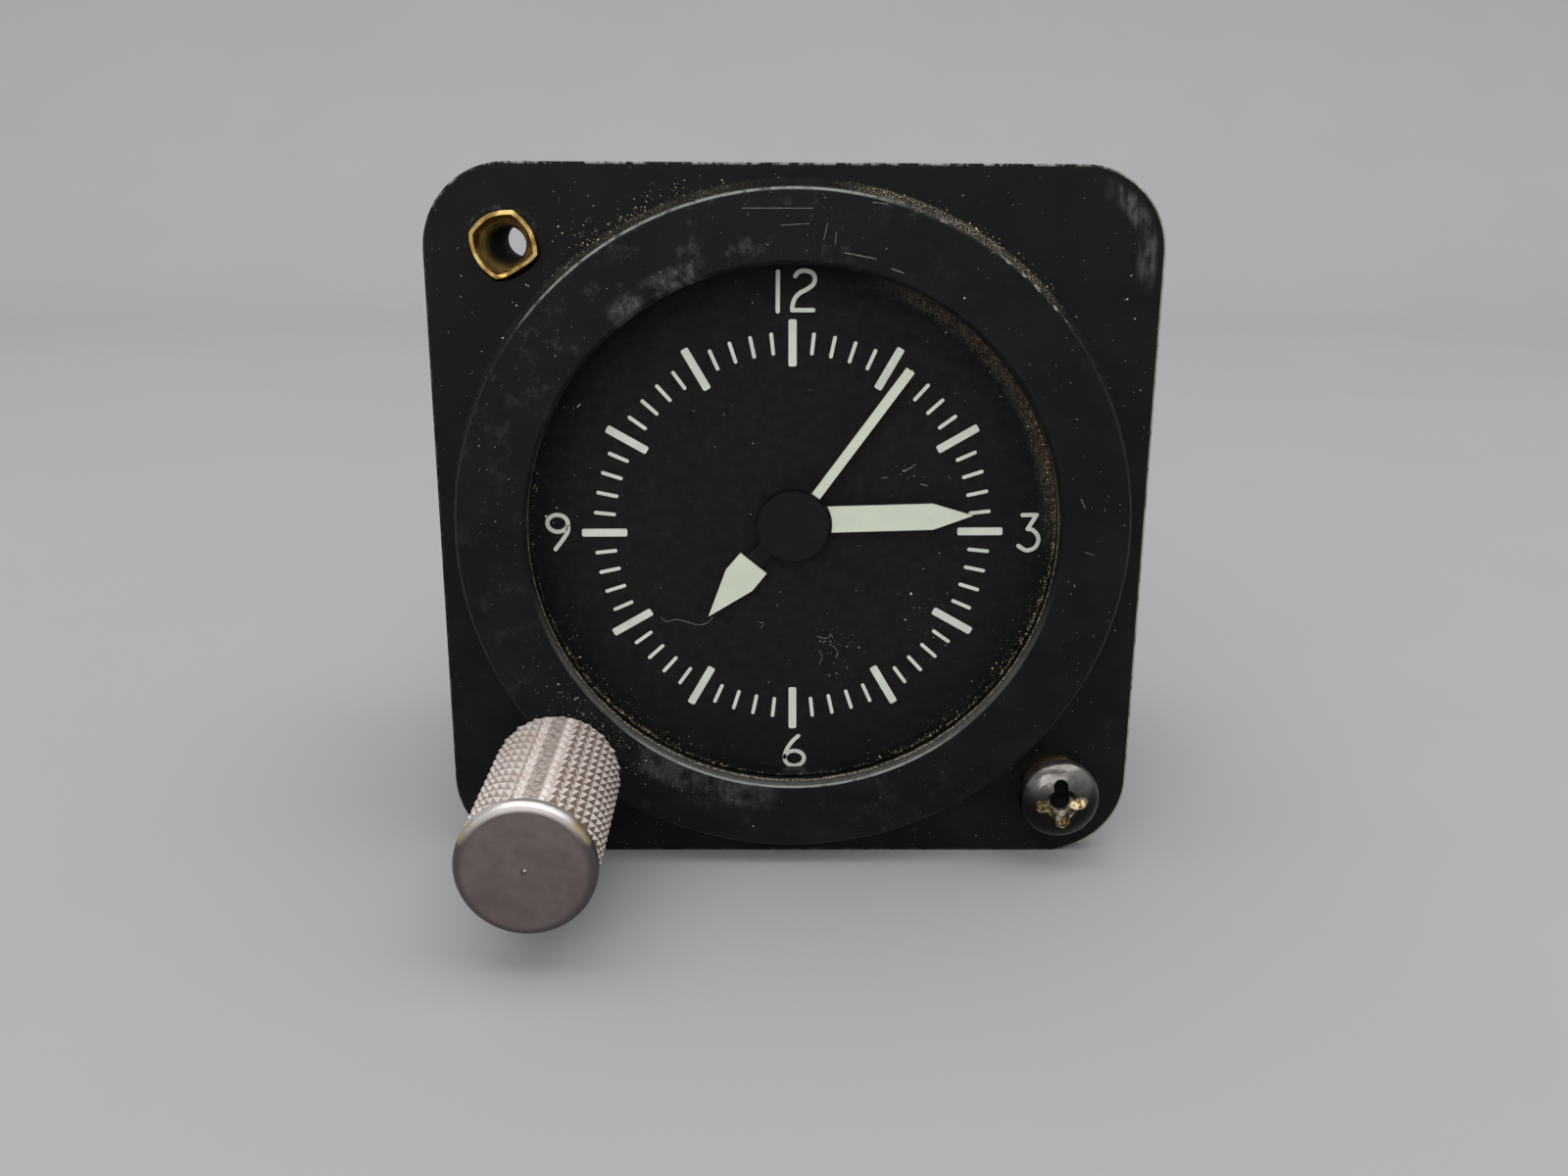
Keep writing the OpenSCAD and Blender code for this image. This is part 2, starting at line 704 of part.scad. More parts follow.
// Barrel arbor, wound by the ratchet wheel
module barrel_arbor() {
    hub_y = barrel_y + great_t + level_gap;
    cap_y = barrel_back - 1;
    color(steel) place() {
        rod(barrel_at, winding_y - 0.2, hub_y, barrel_arbor_r);
        rod(barrel_at, hub_y - eps, cap_y - level_gap, barrel_arbor_r + 0.9);
        rod(barrel_at, cap_y - level_gap - eps, barrel_back + 0.2, barrel_arbor_r);
        rod(barrel_at, barrel_back, rear_back - 0.2, barrel_tail_r);
    }
}

// Click that lets the ratchet wheel turn one way, shown lifted over a tooth
module click() {
    beak_w = 0.5;
    arm_end = beak_at + polar(0.9, click_angle);
    color(steel) place() difference() {
        slab(winding_y + 0.1, winding_t - 0.2) {
            translate(click_at) circle(1.4);
            bar(click_at, arm_end, 1);
            translate(beak_at) rotate(click_angle)
                polygon([[0, -0.1], [1.2, -beak_w], [1.2, beak_w], [0, 0.1]]);
        }
        rod(click_at, winding_y, winding_y + winding_t, post_r + pivot_gap);
    }
}

// Leaf spring behind the click
module click_spring() {
    leaf_w = 0.25;
    root_at = click_at + polar(3.4, click_angle - 20);
    contact_at = (click_at + beak_at) / 2 + polar(1.35, click_angle);
    color(steel) place() {
        rod(root_at, winding_y, plate_y, 0.7);
        slab(winding_y + 0.2, winding_t - 0.4) bar(root_at, contact_at, leaf_w);
    }
}

// Mainspring barrel with the great wheel's teeth on its front edge
module barrel() {
    wall_r = barrel_m * (barrel_n / 2 - root_h) - 0.4;
    color(brass) place() {
        difference() {
            gear(barrel_at, barrel_y, great_t, barrel_n, barrel_m, 0);
            rod(barrel_at, barrel_y - eps, barrel_y + great_t + eps, barrel_arbor_r + pivot_gap);
        }
        tube(barrel_at, barrel_y + great_t - eps, barrel_back, wall_r, wall_r - 0.7);
    }
}

// Cap snapped into the barrel
module barrel_cap() {
    cap_r = barrel_m * (barrel_n / 2 - root_h) - 1.1 - seat_gap;
    color(brass) place()
        tube(barrel_at, barrel_back - 0.8, barrel_back, cap_r, barrel_arbor_r + pivot_gap);
}

// Coiled mainspring, hooked in the barrel
module mainspring() {
    outer_r = barrel_m * (barrel_n / 2 - root_h) - 1.1 - 0.35;
    strip = 0.3;
    turns = 8;
    color(steel) place() slab(barrel_y + great_t + level_gap, barrel_h - great_t - 1 - 2 * level_gap)
        translate(barrel_at)
        polygon(spiral_points(barrel_arbor_r + 1.4, outer_r, turns, strip, 20));
}

// Front plate with the posts of the motion work
module front_plate() {
    color(brass) place() difference() {
        union() {
            rod([0, 0], plate_y, plate_back, inner_r);
            rod(winding_at, winding_y - 0.1, plate_y + eps, post_r);
            rod(minute_at, hour_wheel_y, plate_y + eps, post_r);
            rod(click_at, winding_y - 0.1, plate_y + eps, post_r);
        }
        rod([0, 0], plate_y - eps, plate_back + eps, centre_arbor_r + pivot_gap);
        rod(barrel_at, plate_y - eps, plate_back + eps, barrel_arbor_r + pivot_gap);
        rod(third_at, plate_y - eps, plate_back + eps, arbor_r + pivot_gap);
        for (p = pillar_places) rod(p, plate_y - eps, plate_back + eps, pillar_r - 0.4);
    }
}

// Back plate with the pivots of the train and the escapement
module back_plate() {
    color(brass) place() difference() {
        rod([0, 0], rear_y, rear_back, rear_plate_r);
        rod([0, 0], rear_y - eps, rear_back + eps, second_arbor_r + pivot_gap);
        rod(barrel_at, rear_y - eps, rear_back + eps, barrel_tail_r + pivot_gap);
        rod(third_at, rear_y - eps, rear_back + eps, arbor_r + pivot_gap);
        rod(escape_at, rear_y - eps, rear_back + eps, second_arbor_r + pivot_gap);
        rod(pallet_at, rear_y - eps, rear_back + eps, staff_r + pivot_gap);
        rod(balance_at, rear_y - eps, rear_back + eps, staff_r + pivot_gap);
        for (p = pillar_places) rod(p, rear_y - eps, rear_back + eps, pillar_r - 0.4);
        for (p = [escape_foot_at, balance_foot_at])
            rod(p, rear_y - eps, rear_back + eps, foot_r - 1);
    }
}

// Three pillars riveted into the front plate
module pillars() {
    color(brass) place() for (p = pillar_places) difference() {
        union() {
            rod(p, plate_y, plate_back + eps, pillar_r - 0.4 - seat_gap);
            rod(p, plate_back, rear_y, pillar_r);
        }
        rod(p, rear_y - screw_reach - 0.5, rear_y + eps, pillar_r - 0.5);
    }
}

// Screws through the back plate into the pillars
module plate_screws() {
    shank_r = pillar_r - 0.5 - seat_gap;
    head_r = pillar_r + 0.3;
    head_h = 0.9;
    color(steel) place() for (p = pillar_places) difference() {
        union() {
            rod(p, rear_back, rear_back + head_h, head_r);
            rod(p, rear_y - screw_reach, rear_back + eps, shank_r);
        }
        slab(rear_back + head_h - 0.4, 0.4 + eps) translate(p)
            square([3 * head_r, 0.4], center = true);
    }
}

// Centre wheel on its hollow arbor, driven by the barrel
module centre_wheel() {
    color(brass) place() difference() {
        union() {
            rod([0, 0], minute_y + hand_t, centre_y + wheel_t + 2 * level_gap, centre_arbor_r);
            gear([0, 0], barrel_y - 0.2, great_t + 0.4, centre_pinion_n, barrel_m, centre_pinion_phase);
            spoked_wheel([0, 0], centre_y, wheel_t, centre_n, centre_m, 0, 2.4, 5);
        }
        rod([0, 0], minute_y, centre_y + wheel_t + 1, second_arbor_r + pivot_gap);
    }
}

// Third wheel and pinion
module third_wheel() {
    color(brass) place() {
        rod(third_at, plate_y + 0.2, rear_back - 0.2, arbor_r);
        gear(third_at, centre_y - 0.2, wheel_t + 0.4, third_pinion_n, centre_m, third_phase);
        spoked_wheel(third_at, third_y, wheel_t, third_n, third_m, third_phase, 2.2, 5);
    }
}

// Fourth wheel and pinion, whose arbor carries the second hand
module fourth_wheel() {
    color(brass) place() {
        rod([0, 0], second_y + hand_t, rear_back - 0.2, second_arbor_r);
        gear([0, 0], third_y - 0.2, wheel_t + 0.4, fourth_pinion_n, third_m, fourth_phase);
        spoked_wheel([0, 0], fourth_y, wheel_t, fourth_n, fourth_m, 0, 2, 4);
    }
}

// Escape wheel with slanted teeth, and its pinion
module escape_wheel() {
    root_r = escape_r * 0.76;
    tip_w = 0.25;
    stone_offset = 6;
    turn = lever_angle + 30 - stone_offset;
    pitch = 360 / escape_n;
    half = tip_w / escape_r * 90 / PI;
    color(brass) place() {
        rod(escape_at, fourth_y - 0.3, escape_cock_y + cock_t - 0.2, second_arbor_r);
        gear(escape_at, fourth_y - 0.2, wheel_t + 0.4, escape_pinion_n, fourth_m, escape_phase);
        slab(escape_y, escape_t) translate(escape_at) rotate(turn)
            polygon([for (i = [0:escape_n - 1]) each [
                polar(root_r, (i - 0.4) * pitch), polar(escape_r, i * pitch - half),
                polar(escape_r, i * pitch + half), polar(root_r, (i + 0.15) * pitch)
            ]]);
    }
}

// Cock over the escape wheel and the lever
module escape_cock() {
    color(brass) place() difference() {
        union() {
            rod(escape_at, escape_cock_y, escape_cock_y + cock_t, 1.6);
            rod(pallet_at, escape_cock_y, escape_cock_y + cock_t, 1.4);
            rod(escape_foot_at, rear_back, escape_cock_y + cock_t, foot_r);
            slab(escape_cock_y, cock_t) bar(escape_at, pallet_at, 2);
            slab(escape_cock_y, cock_t) bar(escape_at, escape_foot_at, 2.4);
        }
        rod(escape_at, escape_cock_y - eps, escape_cock_y + cock_t + eps, second_arbor_r + pivot_gap);
        rod(pallet_at, escape_cock_y - eps, escape_cock_y + cock_t + eps, staff_r + pivot_gap);
        rod(escape_foot_at, rear_back - eps, escape_cock_y + cock_t + eps, foot_r - 1);
    }
}

// Pallet lever: two stones that meet the escape wheel, and a fork
module pallet_lever() {
    stone_w = 0.4;
    stone_l = 0.9;
    stone_gap = 0.08;
    fork_l = norm(balance_at - pallet_at) - 1.3;
    color(steel) place() {
        rod(pallet_at, rear_back - 0.8, escape_cock_y + cock_t - 0.2, staff_r);
        slab(escape_y, escape_t) {
            translate(pallet_at) circle(staff_r + 0.2);
            for (side = [-1, 1]) {
                stone_at = escape_at + polar(escape_r + stone_gap, lever_angle + side * 30);
                heel_at = stone_at + polar(stone_l - 0.3, lever_angle + side * 30);
                translate(stone_at) rotate(lever_angle + side * 30)
                    translate([0, -stone_w / 2]) square([stone_l, stone_w]);
                bar(pallet_at, heel_at, 0.6);
            }
            difference() {
                bar(pallet_at, pallet_at + polar(fork_l, lever_angle), 1.2);
                translate(pallet_at) rotate(lever_angle) translate([1.2, 0.3]) square([fork_l - 2.4, 1]);
                translate(pallet_at) rotate(lever_angle) translate([1.2, -1.3]) square([fork_l - 2.4, 1]);
                translate(pallet_at) rotate(lever_angle) translate([fork_l - 0.8, -0.25]) square([1, 0.5]);
            }
        }
    }
}

// Balance wheel, staff, roller and impulse pin
module balance() {
    rim_w = 1.1;
    roller_r = 1.2;
    color(brass) place() {
        rod(balance_at, rear_back - 0.8, cock_y + cock_t - 0.2, staff_r);
        rod(balance_at, roller_y, roller_y + roller_t, roller_r);
        rod(balance_at - polar(roller_r - 0.3, lever_angle), escape_y + escape_t + 0.1, roller_y + eps, 0.15);
        rod(balance_at, hairspring_y - level_gap, hairspring_y + hairspring_t, staff_r + 0.3);
        slab(balance_y, balance_t) translate(balance_at) {
            difference() {
                circle(balance_r);
                circle(balance_r - rim_w);
            }
            rotate(lever_angle) square([2 * balance_r - rim_w, 1], center = true);
            circle(1.4);
        }
    }
}

// Hairspring around the balance staff
module hairspring() {
    color(steel) place() slab(hairspring_y, hairspring_t) translate(balance_at)
        polygon(spiral_points(staff_r + 0.5, 3.4, 5, 0.15, 20));
}

// Cock that carries the balance, with the hairspring stud
module balance_cock() {
    stud_at = balance_at + polar(3.4 + 0.55, bearing(balance_at, balance_foot_at));
    color(brass) place() difference() {
        union() {
            rod(balance_at, cock_y, cock_y + cock_t, 2.2);
            rod(balance_foot_at, rear_back, cock_y + cock_t, foot_r);
            slab(cock_y, cock_t) bar(balance_at, balance_foot_at, 2.6);
            rod(stud_at, hairspring_y, cock_y + eps, 0.4);
        }
        rod(balance_at, cock_y - eps, cock_y + cock_t + eps, staff_r + pivot_gap);
        rod(balance_foot_at, rear_back - eps, cock_y + cock_t + eps, foot_r - 1);
    }
}

// Screws of the two cocks
module cock_screws() {
    shank_r = foot_r - 1 - seat_gap;
    head_h = 0.7;
    color(steel) place()
        for (s = [[escape_foot_at, escape_cock_y + cock_t], [balance_foot_at, cock_y + cock_t]]) {
            rod(s[0], s[1], s[1] + head_h, foot_r - 0.3);
            rod(s[0], rear_y + 0.2, s[1] + eps, shank_r);
        }
}

// Cannon pinion, whose pipe carries the minute hand
module cannon_pinion() {
    color(steel) place() difference() {
        union() {
            rod([0, 0], minute_y, motion_y + eps, cannon_r);
            gear([0, 0], motion_y, motion_t, cannon_n, winding_m, 0);
            rod([0, 0], motion_y + motion_t - eps, plate_y - level_gap, cannon_r - 0.1);
        }
        rod([0, 0], minute_y - eps, plate_y, centre_arbor_r + pivot_gap);
    }
}

// Minute wheel and pinion of the motion work
module minute_wheel() {
    color(brass) place() difference() {
        union() {
            gear(minute_at, hour_wheel_y, motion_y - hour_wheel_y + eps, minute_pinion_n, hour_m, minute_phase);
            gear(minute_at, motion_y, motion_t, minute_n, winding_m, minute_phase);
            rod(minute_at, motion_y + motion_t - eps, plate_y - level_gap, post_r + 0.5);
        }
        rod(minute_at, hour_wheel_y - eps, plate_y, post_r + pivot_gap);
    }
}

// Hour wheel, whose pipe carries the hour hand
module hour_wheel() {
    color(brass) place() difference() {
        union() {
            gear([0, 0], hour_wheel_y, hour_wheel_t, hour_n, hour_m, hour_phase);
            rod([0, 0], hour_y, hour_wheel_y + eps, hour_pipe_r);
        }
        rod([0, 0], hour_y - eps, hour_wheel_y + hour_wheel_t + eps, cannon_r + pivot_gap);
    }
}

// Idler between the setting pinion and the minute wheel
module setting_wheel() {
    color(brass) place() difference() {
        gear(setting_at, motion_y, motion_t, setting_n, winding_m, setting_phase);
        rod(setting_at, motion_y - eps, motion_y + motion_t + eps, post_r + pivot_gap);
    }
}

// Second hand with its round boss
module second_hand() {
    clock_angle = 35.9;
    color(pale) place() difference() {
        slab(second_y, hand_t) {
            circle(hub_r);
            rotate(90 - clock_angle) translate([0, -second_w / 2]) square([second_len, second_w]);
        }
        rod([0, 0], second_y + hand_t / 2, second_y + 1, second_arbor_r + seat_gap);
    }
}

// Minute hand: parallel blade with a pointed end
module minute_hand() {
    clock_angle = 88.2;
    point_l = 3.45;
    blade_side = 0.42;
    shoulder = minute_len - point_l;
    color(pale) place() difference() {
        slab(minute_y, hand_t) {
            circle(hub_r);
            rotate(90 - clock_angle) translate([0, blade_side]) polygon([
                [0, -minute_w / 2], [shoulder, -minute_w / 2], [minute_len, 0],
                [shoulder, minute_w / 2], [0, minute_w / 2]
            ]);
        }
        rod([0, 0], minute_y - eps, minute_y + 1, cannon_r + seat_gap);
    }
}

// Hour hand: short kite on a narrow arm
module hour_hand() {
    clock_angle = 219.2;
    kite_from = 4.87;
    kite_to = 6.9;
    blade_side = -0.42;
    arm_w = 1.6;
    color(pale) place() difference() {
        slab(hour_y, hand_t) {
            circle(hub_r);
            rotate(90 - clock_angle) translate([0, blade_side]) polygon([
                [0, -arm_w / 2], [kite_from, -arm_w / 2], [kite_from, -hour_w * 0.49],
                [kite_to, -hour_w / 2], [hour_len, 0], [kite_to, hour_w / 2],
                [kite_from, hour_w * 0.49], [kite_from, arm_w / 2], [0, arm_w / 2]
            ]);
        }
        rod([0, 0], hour_y - eps, hour_y + 1, hour_pipe_r + seat_gap);
    }
}

bezel();
case_can();
glass_gasket();
glass();
glass_spacer();
dial();
movement_ring();
retaining_ring();
cover_gasket();
rear_cover();
cover_screws();
insert_nuts();
mounting_screw();
stem_bush();
knob();
stem();
setting_pinion();
winding_pinion();
winding_wheel();
ratchet_wheel();
barrel_arbor();
click();
click_spring();
barrel();
barrel_cap();
mainspring();
front_plate();
back_plate();
pillars();
plate_screws();
centre_wheel();
third_wheel();
fourth_wheel();
escape_wheel();
escape_cock();
pallet_lever();
balance();
hairspring();
balance_cock();
cock_screws();
cannon_pinion();
minute_wheel();
hour_wheel();
setting_wheel();
second_hand();
minute_hand();
hour_hand();
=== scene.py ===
import json
import math
import random

import bmesh
import bpy
from mathutils import Matrix, Vector


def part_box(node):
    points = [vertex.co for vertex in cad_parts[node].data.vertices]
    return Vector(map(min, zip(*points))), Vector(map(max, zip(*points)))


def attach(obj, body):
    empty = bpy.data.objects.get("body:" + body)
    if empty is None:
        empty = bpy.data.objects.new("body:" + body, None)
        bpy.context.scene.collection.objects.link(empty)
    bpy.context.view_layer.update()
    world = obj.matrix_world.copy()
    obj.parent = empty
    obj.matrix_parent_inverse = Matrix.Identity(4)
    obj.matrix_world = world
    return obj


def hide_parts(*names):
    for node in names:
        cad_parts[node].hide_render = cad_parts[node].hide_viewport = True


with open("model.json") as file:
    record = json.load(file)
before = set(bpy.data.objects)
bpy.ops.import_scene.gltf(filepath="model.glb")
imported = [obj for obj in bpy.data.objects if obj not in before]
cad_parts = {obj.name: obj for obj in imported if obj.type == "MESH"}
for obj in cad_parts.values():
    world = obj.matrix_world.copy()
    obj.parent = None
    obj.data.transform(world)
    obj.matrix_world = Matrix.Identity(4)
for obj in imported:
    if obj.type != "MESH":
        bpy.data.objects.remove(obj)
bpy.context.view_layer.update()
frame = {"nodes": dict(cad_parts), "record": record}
NODES = frame["nodes"]
MM = 0.001

# Sizes of the face in millimetres. x is right, y into the panel from the flange's front,
# z up from the dial's axis.
FLANGE_W, CORNER_R = 60.325, 7.0
RING_R, RING_H = 28.4, 2.8
WINDOW_R = 22.4
GLASS_Y = -0.9
DIAL_Y = 2.6
KNOB_X, KNOB_Z, KNOB_R = -20.44, -21.17, 5.55
KNURL_FRONT, KNURL_BACK = -20.4, -3.0
HOLE = 23.57
THROAT_R, BORE_R = 2.1, 1.42
MOUTH_FLOOR = -0.35
SCREW_TOP = -4.8
# The screw's crown falls back by this times its radius squared
SCREW_DOME = 0.078
# Edges of the strip worn flat along the knob, in degrees around it from +x towards +z
STRIP = (80.0, 91.0)

# Print on the dial: its centre, its two faces, the ticks' middle radius and turn in degrees,
# and each kind of tick as length, width and share of rounding
PRINT_X, PRINT_Z = -0.02, -0.86
PRINT_FRONT, PRINT_BACK = DIAL_Y - 0.03, DIAL_Y + 0.01
TICK_MID, TICK_TURN = 16.42, -0.37
MAJOR_TICK = (3.95, 0.69, 0.45)
MINOR_TICK = (1.92, 0.31, 0.95)
NUMERAL_W = 0.36

# Mouth of the upper insert: bearing from the hole's centre in degrees and its radius in
# millimetres, corner and side in turn, first as drawn in the CAD and then as hammered
DRAWN = [(75, 2.9), (120, 2.56), (165, 2.9), (210, 2.56),
         (255, 2.9), (300, 2.56), (345, 2.9), (390, 2.56)]
HAMMERED = [(71, 2.98), (115, 2.72), (159, 2.84), (209, 2.4),
            (257, 2.66), (304, 2.16), (347, 2.86), (391, 2.72)]

# Scratches on the ring and hairs on the glass: width, then x, z points
RING_SCRATCHES = [
    (0.035, [(-4.3, 26.7), (1.35, 26.72)]),
    (0.03, [(-1.2, 25.4), (1.1, 25.55)]),
    (0.05, [(3.9, 23.3), (6.4, 22.85)]),
    (0.05, [(7.6, 22.1), (8.6, 21.75)]),
    (0.04, [(6.0, 27.2), (7.2, 27.05)]),
    (0.03, [(2.2, 24.3), (2.5, 25.6)]),
    (0.03, [(3.1, 24.0), (3.2, 24.9)]),
    (0.04, [(23.9, 3.4), (24.3, 2.6)]),
    (0.03, [(24.6, -1.2), (25.3, -1.5)]),
]
GLASS_HAIRS = [
    (0.03, [(-11.4, -7.6), (-10.9, -8.0), (-10.1, -7.8), (-9.2, -8.0),
            (-8.2, -8.3), (-7.4, -8.1), (-6.9, -7.6)]),
    (0.04, [(-2.9, -8.0), (-2.5, -8.2), (-2.8, -8.6)]),
    (0.04, [(2.1, -9.3), (2.9, -9.5), (3.4, -9.1)]),
    (0.03, [(3.2, -10.0), (3.9, -10.6), (3.8, -11.3)]),
    (0.03, [(2.3, -10.6), (2.6, -11.2), (2.3, -11.9)]),
    (0.05, [(9.2, 5.3), (9.8, 5.6), (10.2, 5.9)]),
    (0.04, [(10.7, 4.2), (11.3, 4.05)]),
    (0.09, [(-18.0, 10.6), (-17.7, 10.9)]),
    (0.04, [(7.4, 4.7), (7.9, 4.8)]),
]

# Camera: its place in the face's frame, its direction, and its lens in millimetres
CAMERA_AT = (-2.125, -120.478, 29.917)
CAMERA_AHEAD = (0.010842, 0.959962, -0.279919)
CAMERA_UP = (-0.002326, 0.279959, 0.960009)
LENS, SENSOR = 33.26, 36.0

bezel_low, bezel_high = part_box("bezel")
ORIGIN = Vector((0.0, bezel_low.y + RING_H * MM, (bezel_low.z + bezel_high.z) / 2))
cover_low, cover_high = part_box("rear_cover")
COVER_Y = (cover_high.y - ORIGIN.y) / MM
COVER_R = (cover_high.x - cover_low.x) / 2 / MM


def at(x, y, z):
    """Point of the face's frame, in metres in the part's frame."""
    return Vector((x * MM, y * MM, z * MM)) + ORIGIN


def face_place(co):
    """Millimetres in the face's frame of a point in metres in the part's frame."""
    return tuple((a - b) / MM for a, b in zip(co, ORIGIN))


# Node graphs

class Graph:
    """Small helper that builds one material's nodes, in millimetres in the face's frame."""

    def __init__(self, name):
        self.mat = bpy.data.materials.new(name)
        self.mat.use_nodes = True
        self.nodes = self.mat.node_tree.nodes
        self.links = self.mat.node_tree.links
        self.nodes.clear()
        self.out = self.nodes.new("ShaderNodeOutputMaterial")
        self.bsdf = self.nodes.new("ShaderNodeBsdfPrincipled")
        self.links.new(self.bsdf.outputs["BSDF"], self.out.inputs["Surface"])
        self.coord = self.nodes.new("ShaderNodeTexCoord")
        shift = self.nodes.new("ShaderNodeVectorMath")
        shift.operation = "SUBTRACT"
        self.links.new(self.coord.outputs["Object"], shift.inputs[0])
        shift.inputs[1].default_value = ORIGIN
        scale = self.nodes.new("ShaderNodeVectorMath")
        scale.operation = "SCALE"
        self.links.new(shift.outputs[0], scale.inputs[0])
        scale.inputs["Scale"].default_value = 1 / MM
        self.pos = scale.outputs[0]
        self.x, self.y, self.z = self.split(self.pos)

    def split(self, vector):
        """The three components of a vector."""
        n = self.nodes.new("ShaderNodeSeparateXYZ")
        self.links.new(vector, n.inputs[0])
        return n.outputs

    def plug(self, socket, value):
        """Gives an input a link or a constant."""
        if isinstance(value, bpy.types.NodeSocket):
            self.links.new(value, socket)
        else:
            socket.default_value = value

    def set(self, **values):
        """Sets inputs of the surface; an underscore stands for a space in their names."""
        for name, value in values.items():
            self.plug(self.bsdf.inputs[name.replace("_", " ")], value)

    def math(self, op, *values):
        """One math node."""
        n = self.nodes.new("ShaderNodeMath")
        n.operation = op
        for socket, value in zip(n.inputs, values):
            self.plug(socket, value)
        return n.outputs[0]

    def chain(self, op, first, *others):
        """One math node after the other."""
        for value in others:
            first = self.math(op, first, value)
        return first

    def add(self, *values):
        return self.chain("ADD", *values)

    def mul(self, *values):
        return self.chain("MULTIPLY", *values)

    def top(self, *values):
        return self.chain("MAXIMUM", *values)

    def sub(self, a, b):
        return self.math("SUBTRACT", a, b)

    def rest(self, v):
        """What v leaves of 1."""
        return self.sub(1.0, v)

    def step(self, v, low, high, out_low=0.0, out_high=1.0):
        """Smooth change from out_low to out_high as v goes from low to high."""
        n = self.nodes.new("ShaderNodeMapRange")
        n.interpolation_type = "SMOOTHSTEP"
        for socket, value in zip(n.inputs, (v, low, high, out_low, out_high)):
            self.plug(socket, value)
        return n.outputs[0]

    def band(self, v, low, high, soft):
        """1 between low and high, fading to 0 within soft."""
        return self.mul(self.step(v, low - soft, low), self.step(v, high, high + soft, 1.0, 0.0))

    def moved(self, offset, stretch=(1, 1, 1)):
        """Place in the face's frame, shifted by offset so that patterns differ."""
        n = self.nodes.new("ShaderNodeMapping")
        self.links.new(self.pos, n.inputs["Vector"])
        n.inputs["Scale"].default_value = stretch
        n.inputs["Location"].default_value = (offset, 0.37 * offset, -0.71 * offset)
        return n.outputs[0]

    def noise(self, scale, detail=3.0, rough=0.55, stretch=(1, 1, 1), offset=0.0):
        """Noise with scale in features per millimetre."""
        n = self.nodes.new("ShaderNodeTexNoise")
        self.links.new(self.moved(offset, stretch), n.inputs["Vector"])
        n.inputs["Scale"].default_value = scale
        n.inputs["Detail"].default_value = detail
        n.inputs["Roughness"].default_value = rough
        return n.outputs["Fac"]

    def specks(self, scale, size, offset=0.0):
        """Sparse small dots, scale cells per millimetre."""
        n = self.nodes.new("ShaderNodeTexVoronoi")
        self.links.new(self.moved(offset), n.inputs["Vector"])
        n.inputs["Scale"].default_value = scale
        return self.step(n.outputs["Distance"], size * 0.5, size, 1.0, 0.0)

    def length(self, dx, dz):
        """Length of a vector across the face."""
        return self.math("SQRT", self.add(self.mul(dx, dx), self.mul(dz, dz)))

    def radius(self, cx=0.0, cz=0.0):
        """Distance from an axis along y."""
        return self.length(self.sub(self.x, cx), self.sub(self.z, cz))

    def rounded_square(self, c):
        """Distance from a square of half width c, outside it."""
        dx = self.top(self.sub(self.math("ABSOLUTE", self.x), c), 0.0)
        dz = self.top(self.sub(self.math("ABSOLUTE", self.z), c), 0.0)
        return self.length(dx, dz)

    def bearing(self, a, b):
        """Angle in degrees whose tangent is a over b, -180 to 180."""
        return self.mul(self.math("ARCTAN2", a, b), 180 / math.pi)

    def clock_angle(self):
        """Angle in degrees from twelve, clockwise."""
        return self.bearing(self.x, self.z)

    def mix(self, fac, a, b):
        """Colour between a and b; each is a link or a linear colour."""
        n = self.nodes.new("ShaderNodeMix")
        n.data_type = "RGBA"
        self.plug(n.inputs["Factor"], fac)
        sockets = [s for s in n.inputs if s.type == "RGBA"]
        for s, v in zip(sockets, (a, b)):
            self.plug(s, v if isinstance(v, bpy.types.NodeSocket) else (*v, 1.0))
        return [s for s in n.outputs if s.type == "RGBA"][0]

    def bump(self, height, depth, strength):
        """Fine relief, with depth in millimetres."""
        n = self.nodes.new("ShaderNodeBump")
        n.inputs["Strength"].default_value = strength
        n.inputs["Distance"].default_value = depth * MM
        self.links.new(height, n.inputs["Height"])
        self.links.new(n.outputs[0], self.bsdf.inputs["Normal"])


def srgb(*values):
    """Linear colour from 8-bit sRGB values."""
    return tuple(((v / 255 + 0.055) / 1.055) ** 2.4 if v > 10 else v / 255 / 12.92
                 for v in values)


PAINT_LOW, PAINT_HIGH = srgb(11, 11, 11), srgb(19, 19, 18)
LUME_TONE = srgb(224, 227, 214)
HAND_TONE = srgb(221, 225, 206)


# Materials

